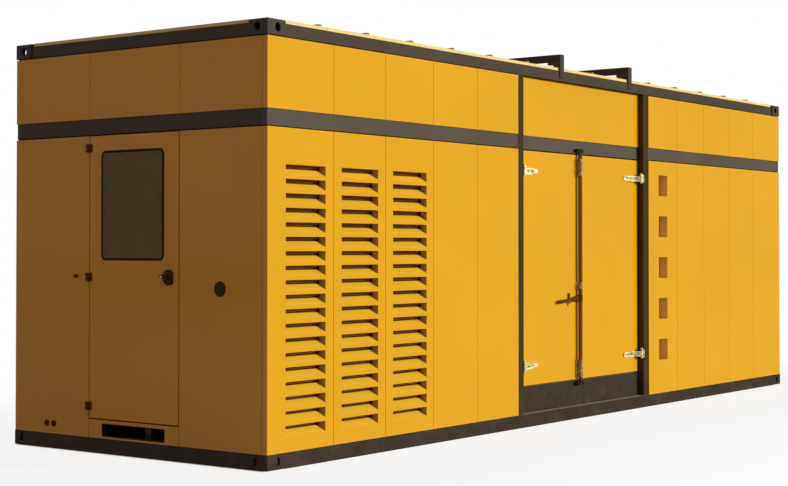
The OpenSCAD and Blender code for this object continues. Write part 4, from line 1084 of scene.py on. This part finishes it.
class GENSET_OT_end_fittings(bpy.types.Operator):
    """Moulded cap, rubber buffer and socket plugs on the door end, turned with rounded edges"""

    bl_idname = "genset.end_fittings"
    bl_label = "End wall fittings"

    def execute(self, context):
        sides = context.scene.genset_trim.sides
        low, high = corners("round_cap")
        size = [(high[1] - low[1]) / 2.0, CAP_HEIGHT * (high[0] - low[0])]
        flange = [(0.97, 0.0), (1.0, 0.08), (1.0, 0.34), (0.95, 0.44), (0.78, 0.48)]
        cap = turned(end_seat(low, high), DOOR_END, domed_profile(flange, 0.74, 1.45, 0.55) * size, sides)
        add_piece("cap_cover", cap, "cap", "enclosure", ["round_cap"])

        low, high = corners("door_buffer")
        size = [BUFFER_WIDTH * (high[1] - low[1]) / 2.0, BUFFER_HEIGHT * (high[0] - low[0])]
        neck = [(1.0, 0.0), (1.0, 0.10), (0.86, 0.16), (0.86, 0.46), (1.0, 0.54)]
        stud = turned(end_seat(low, high), DOOR_END, domed_profile(neck, 1.0, 1.5, 0.62) * size, sides)
        add_piece("buffer_stud", stud, "buffer", "enclosure", ["door_buffer"])

        low, high = corners("pipe_sockets")
        radius = (high[2] - low[2]) / 2.0
        size = [radius, SOCKET_HEIGHT * (high[0] - low[0])]
        middle = (low[2] + high[2]) / 2.0
        centres = [[high[0], y, middle] for y in (low[1] + radius, high[1] - radius)]
        plug = np.array([(1.0, 0.0), (1.0, 0.7), (0.9, 1.0), (0.55, 1.0), (0.48, 0.6), (0.2, 0.6)]) * size
        plugs = turned(centres, DOOR_END, plug, sides)
        add_piece("socket_plugs", plugs, "plug", "enclosure", ["pipe_sockets"])
        return {"FINISHED"}


# Studio


def seen_rays(tree):
    """1 for rays that see a surface straight, in a gloss or through glass, and 0 for the light it sends."""
    rays = tree.nodes.new("ShaderNodeLightPath")
    seen = rays.outputs["Is Camera Ray"]
    for kind in ("Is Glossy Ray", "Is Transmission Ray"):
        either = tree.nodes.new("ShaderNodeMath")
        either.operation = "MAXIMUM"
        tree.links.new(seen, either.inputs[0])
        tree.links.new(rays.outputs[kind], either.inputs[1])
        seen = either.outputs[0]
    return seen


def mixed_surface(tree, factor, first, second, output):
    """Mixes two shaders by a factor, for a tree's output."""
    mixed = tree.nodes.new("ShaderNodeMixShader")
    tree.links.new(factor, mixed.inputs[0])
    tree.links.new(first.outputs[0], mixed.inputs[1])
    tree.links.new(second.outputs[0], mixed.inputs[2])
    tree.links.new(mixed.outputs[0], tree.nodes[output].inputs["Surface"])


def floor_finish(studio):
    """Pale floor that is dark under the object, keeps a soft shadow beside it and turns white far from it."""
    finish = Finish("studio_floor")
    shown = seen_rays(finish.tree)
    x, y, _ = finish.axes(finish.place)
    half = [max(abs(low), abs(high)) for low, high in zip(*CAD_BOX)]
    past_end = finish.math("SUBTRACT", finish.math("ABSOLUTE", x), half[0])
    past_side = finish.math("SUBTRACT", finish.math("ABSOLUTE", y), half[1])
    outside = finish.math("MAXIMUM", past_end, past_side)
    near = finish.band(outside, -FLOOR_EDGE, 0.0, 0.0, studio.glow)
    far = finish.band(outside, studio.fade_near, studio.fade_far, 0.0, 1.0 - studio.glow)
    faded = finish.times(finish.math("ADD", near, far), shown)
    tone = finish.mix(shown, rgba(studio.floor_dim), rgba(studio.floor))
    finish.set(Base_Color=tone, Roughness=0.9, Specular_IOR_Level=0.0)
    white = finish.tree.nodes.new("ShaderNodeEmission")
    mixed_surface(finish.tree, faded, finish.shader, white, "Material Output")
    return finish.material


def studio_world(studio):
    """World that is white where it is seen and a soft even light elsewhere."""
    world = bpy.data.worlds.new("studio_world")
    world.use_nodes = True
    tree = world.node_tree
    soft = tree.nodes["Background"]
    soft.inputs["Color"].default_value = rgba(studio.ambient)
    white = tree.nodes.new("ShaderNodeBackground")
    white.inputs["Color"].default_value = (1.0, 1.0, 1.0, 1.0)
    mixed_surface(tree, seen_rays(tree), soft, white, "World Output")
    return world


class GENSET_OT_stage(bpy.types.Operator):
    """Camera at the picture's viewpoint, soft sun, even world light and a pale floor"""

    bl_idname = "genset.stage"
    bl_label = "Stage"

    def lay_floor(self, scene, studio):
        """Square grid of points on the ground."""
        lines = np.linspace(-studio.floor_half, studio.floor_half, FLOOR_LINES)
        x, y = np.meshgrid(lines, lines, indexing="ij")
        points = np.stack([x, y, np.zeros_like(x)], -1).reshape(-1, 3)
        mesh = bpy.data.meshes.new("studio_floor")
        mesh.from_pydata(points.tolist(), [], grid_quads(FLOOR_LINES, FLOOR_LINES).tolist())
        mesh.materials.append(floor_finish(studio))
        floor = bpy.data.objects.new("studio_floor", mesh)
        scene.collection.objects.link(floor)

    def hang_sun(self, scene, studio):
        """Low sun on the right of the front."""
        level, rise = math.cos(studio.sun_rise), math.sin(studio.sun_rise)
        to_sun = Vector((math.sin(studio.sun_side) * level, -math.cos(studio.sun_side) * level, rise))
        lamp = bpy.data.lights.new("key_sun", "SUN")
        lamp.energy = studio.sun_power
        lamp.angle = studio.sun_spread
        sun = bpy.data.objects.new("key_sun", lamp)
        sun.rotation_euler = to_sun.to_track_quat("Z", "Y").to_euler()
        scene.collection.objects.link(sun)

    def aim_camera(self, scene, studio):
        """Camera turned by its yaw and pitch, with no roll."""
        cos_yaw, sin_yaw = math.cos(studio.yaw), math.sin(studio.yaw)
        level = math.cos(studio.pitch)
        forward = Vector((cos_yaw * level, sin_yaw * level, math.sin(studio.pitch)))
        right = Vector((sin_yaw, -cos_yaw, 0.0))
        turn = Matrix((right, right.cross(forward), -forward)).transposed()
        data = bpy.data.cameras.new("photo_camera")
        data.sensor_width = SENSOR_W
        data.lens = studio.lens
        data.shift_x = studio.shift_x
        data.shift_y = studio.shift_y
        camera = bpy.data.objects.new("photo_camera", data)
        camera.matrix_world = Matrix.Translation(Vector(studio.camera_at)) @ turn.to_4x4()
        scene.collection.objects.link(camera)
        scene.camera = camera

    def execute(self, context):
        scene = context.scene
        studio = scene.genset_studio
        self.lay_floor(scene, studio)
        self.hang_sun(scene, studio)
        scene.world = studio_world(studio)
        self.aim_camera(scene, studio)
        scene.view_settings.view_transform = "Standard"
        return {"FINISHED"}


STEPS = (
    GENSET_OT_paint_frame,
    GENSET_OT_window_gasket,
    GENSET_OT_louvre_screens,
    GENSET_OT_casting_plugs,
    GENSET_OT_slot_edging,
    GENSET_OT_corner_packers,
    GENSET_OT_door_seals,
    GENSET_OT_cover_strips,
    GENSET_OT_bolts,
    GENSET_OT_lock_lever,
    GENSET_OT_door_lever,
    GENSET_OT_end_fittings,
    GENSET_OT_stage,
)


class GENSET_PT_sidebar(bpy.types.Panel):
    """Lists the steps that dress the enclosure"""

    bl_idname = "GENSET_PT_sidebar"
    bl_label = "Generator enclosure"
    bl_space_type = "VIEW_3D"
    bl_region_type = "UI"
    bl_category = "Generator"

    def draw(self, context):
        """One button for each step."""
        for step in STEPS:
            self.layout.operator(step.bl_idname)


SETTINGS = {"genset_paint": PaintSettings, "genset_trim": TrimSettings, "genset_studio": StudioSettings}


def register():
    """Registers the settings, the steps and the panel."""
    for group in SETTINGS.values():
        bpy.utils.register_class(group)
    for name, group in SETTINGS.items():
        setattr(bpy.types.Scene, name, PointerProperty(type=group))
    for step in STEPS + (GENSET_PT_sidebar,):
        bpy.utils.register_class(step)


def unregister():
    """Takes away what register adds, in the opposite order."""
    for step in reversed(STEPS + (GENSET_PT_sidebar,)):
        bpy.utils.unregister_class(step)
    for name in SETTINGS:
        delattr(bpy.types.Scene, name)
    for group in reversed(tuple(SETTINGS.values())):
        bpy.utils.unregister_class(group)


def main():
    """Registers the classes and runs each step."""
    register()
    for step in STEPS:
        family, name = step.bl_idname.split(".")
        getattr(getattr(bpy.ops, family), name)()


if __name__ == "__main__":
    main()
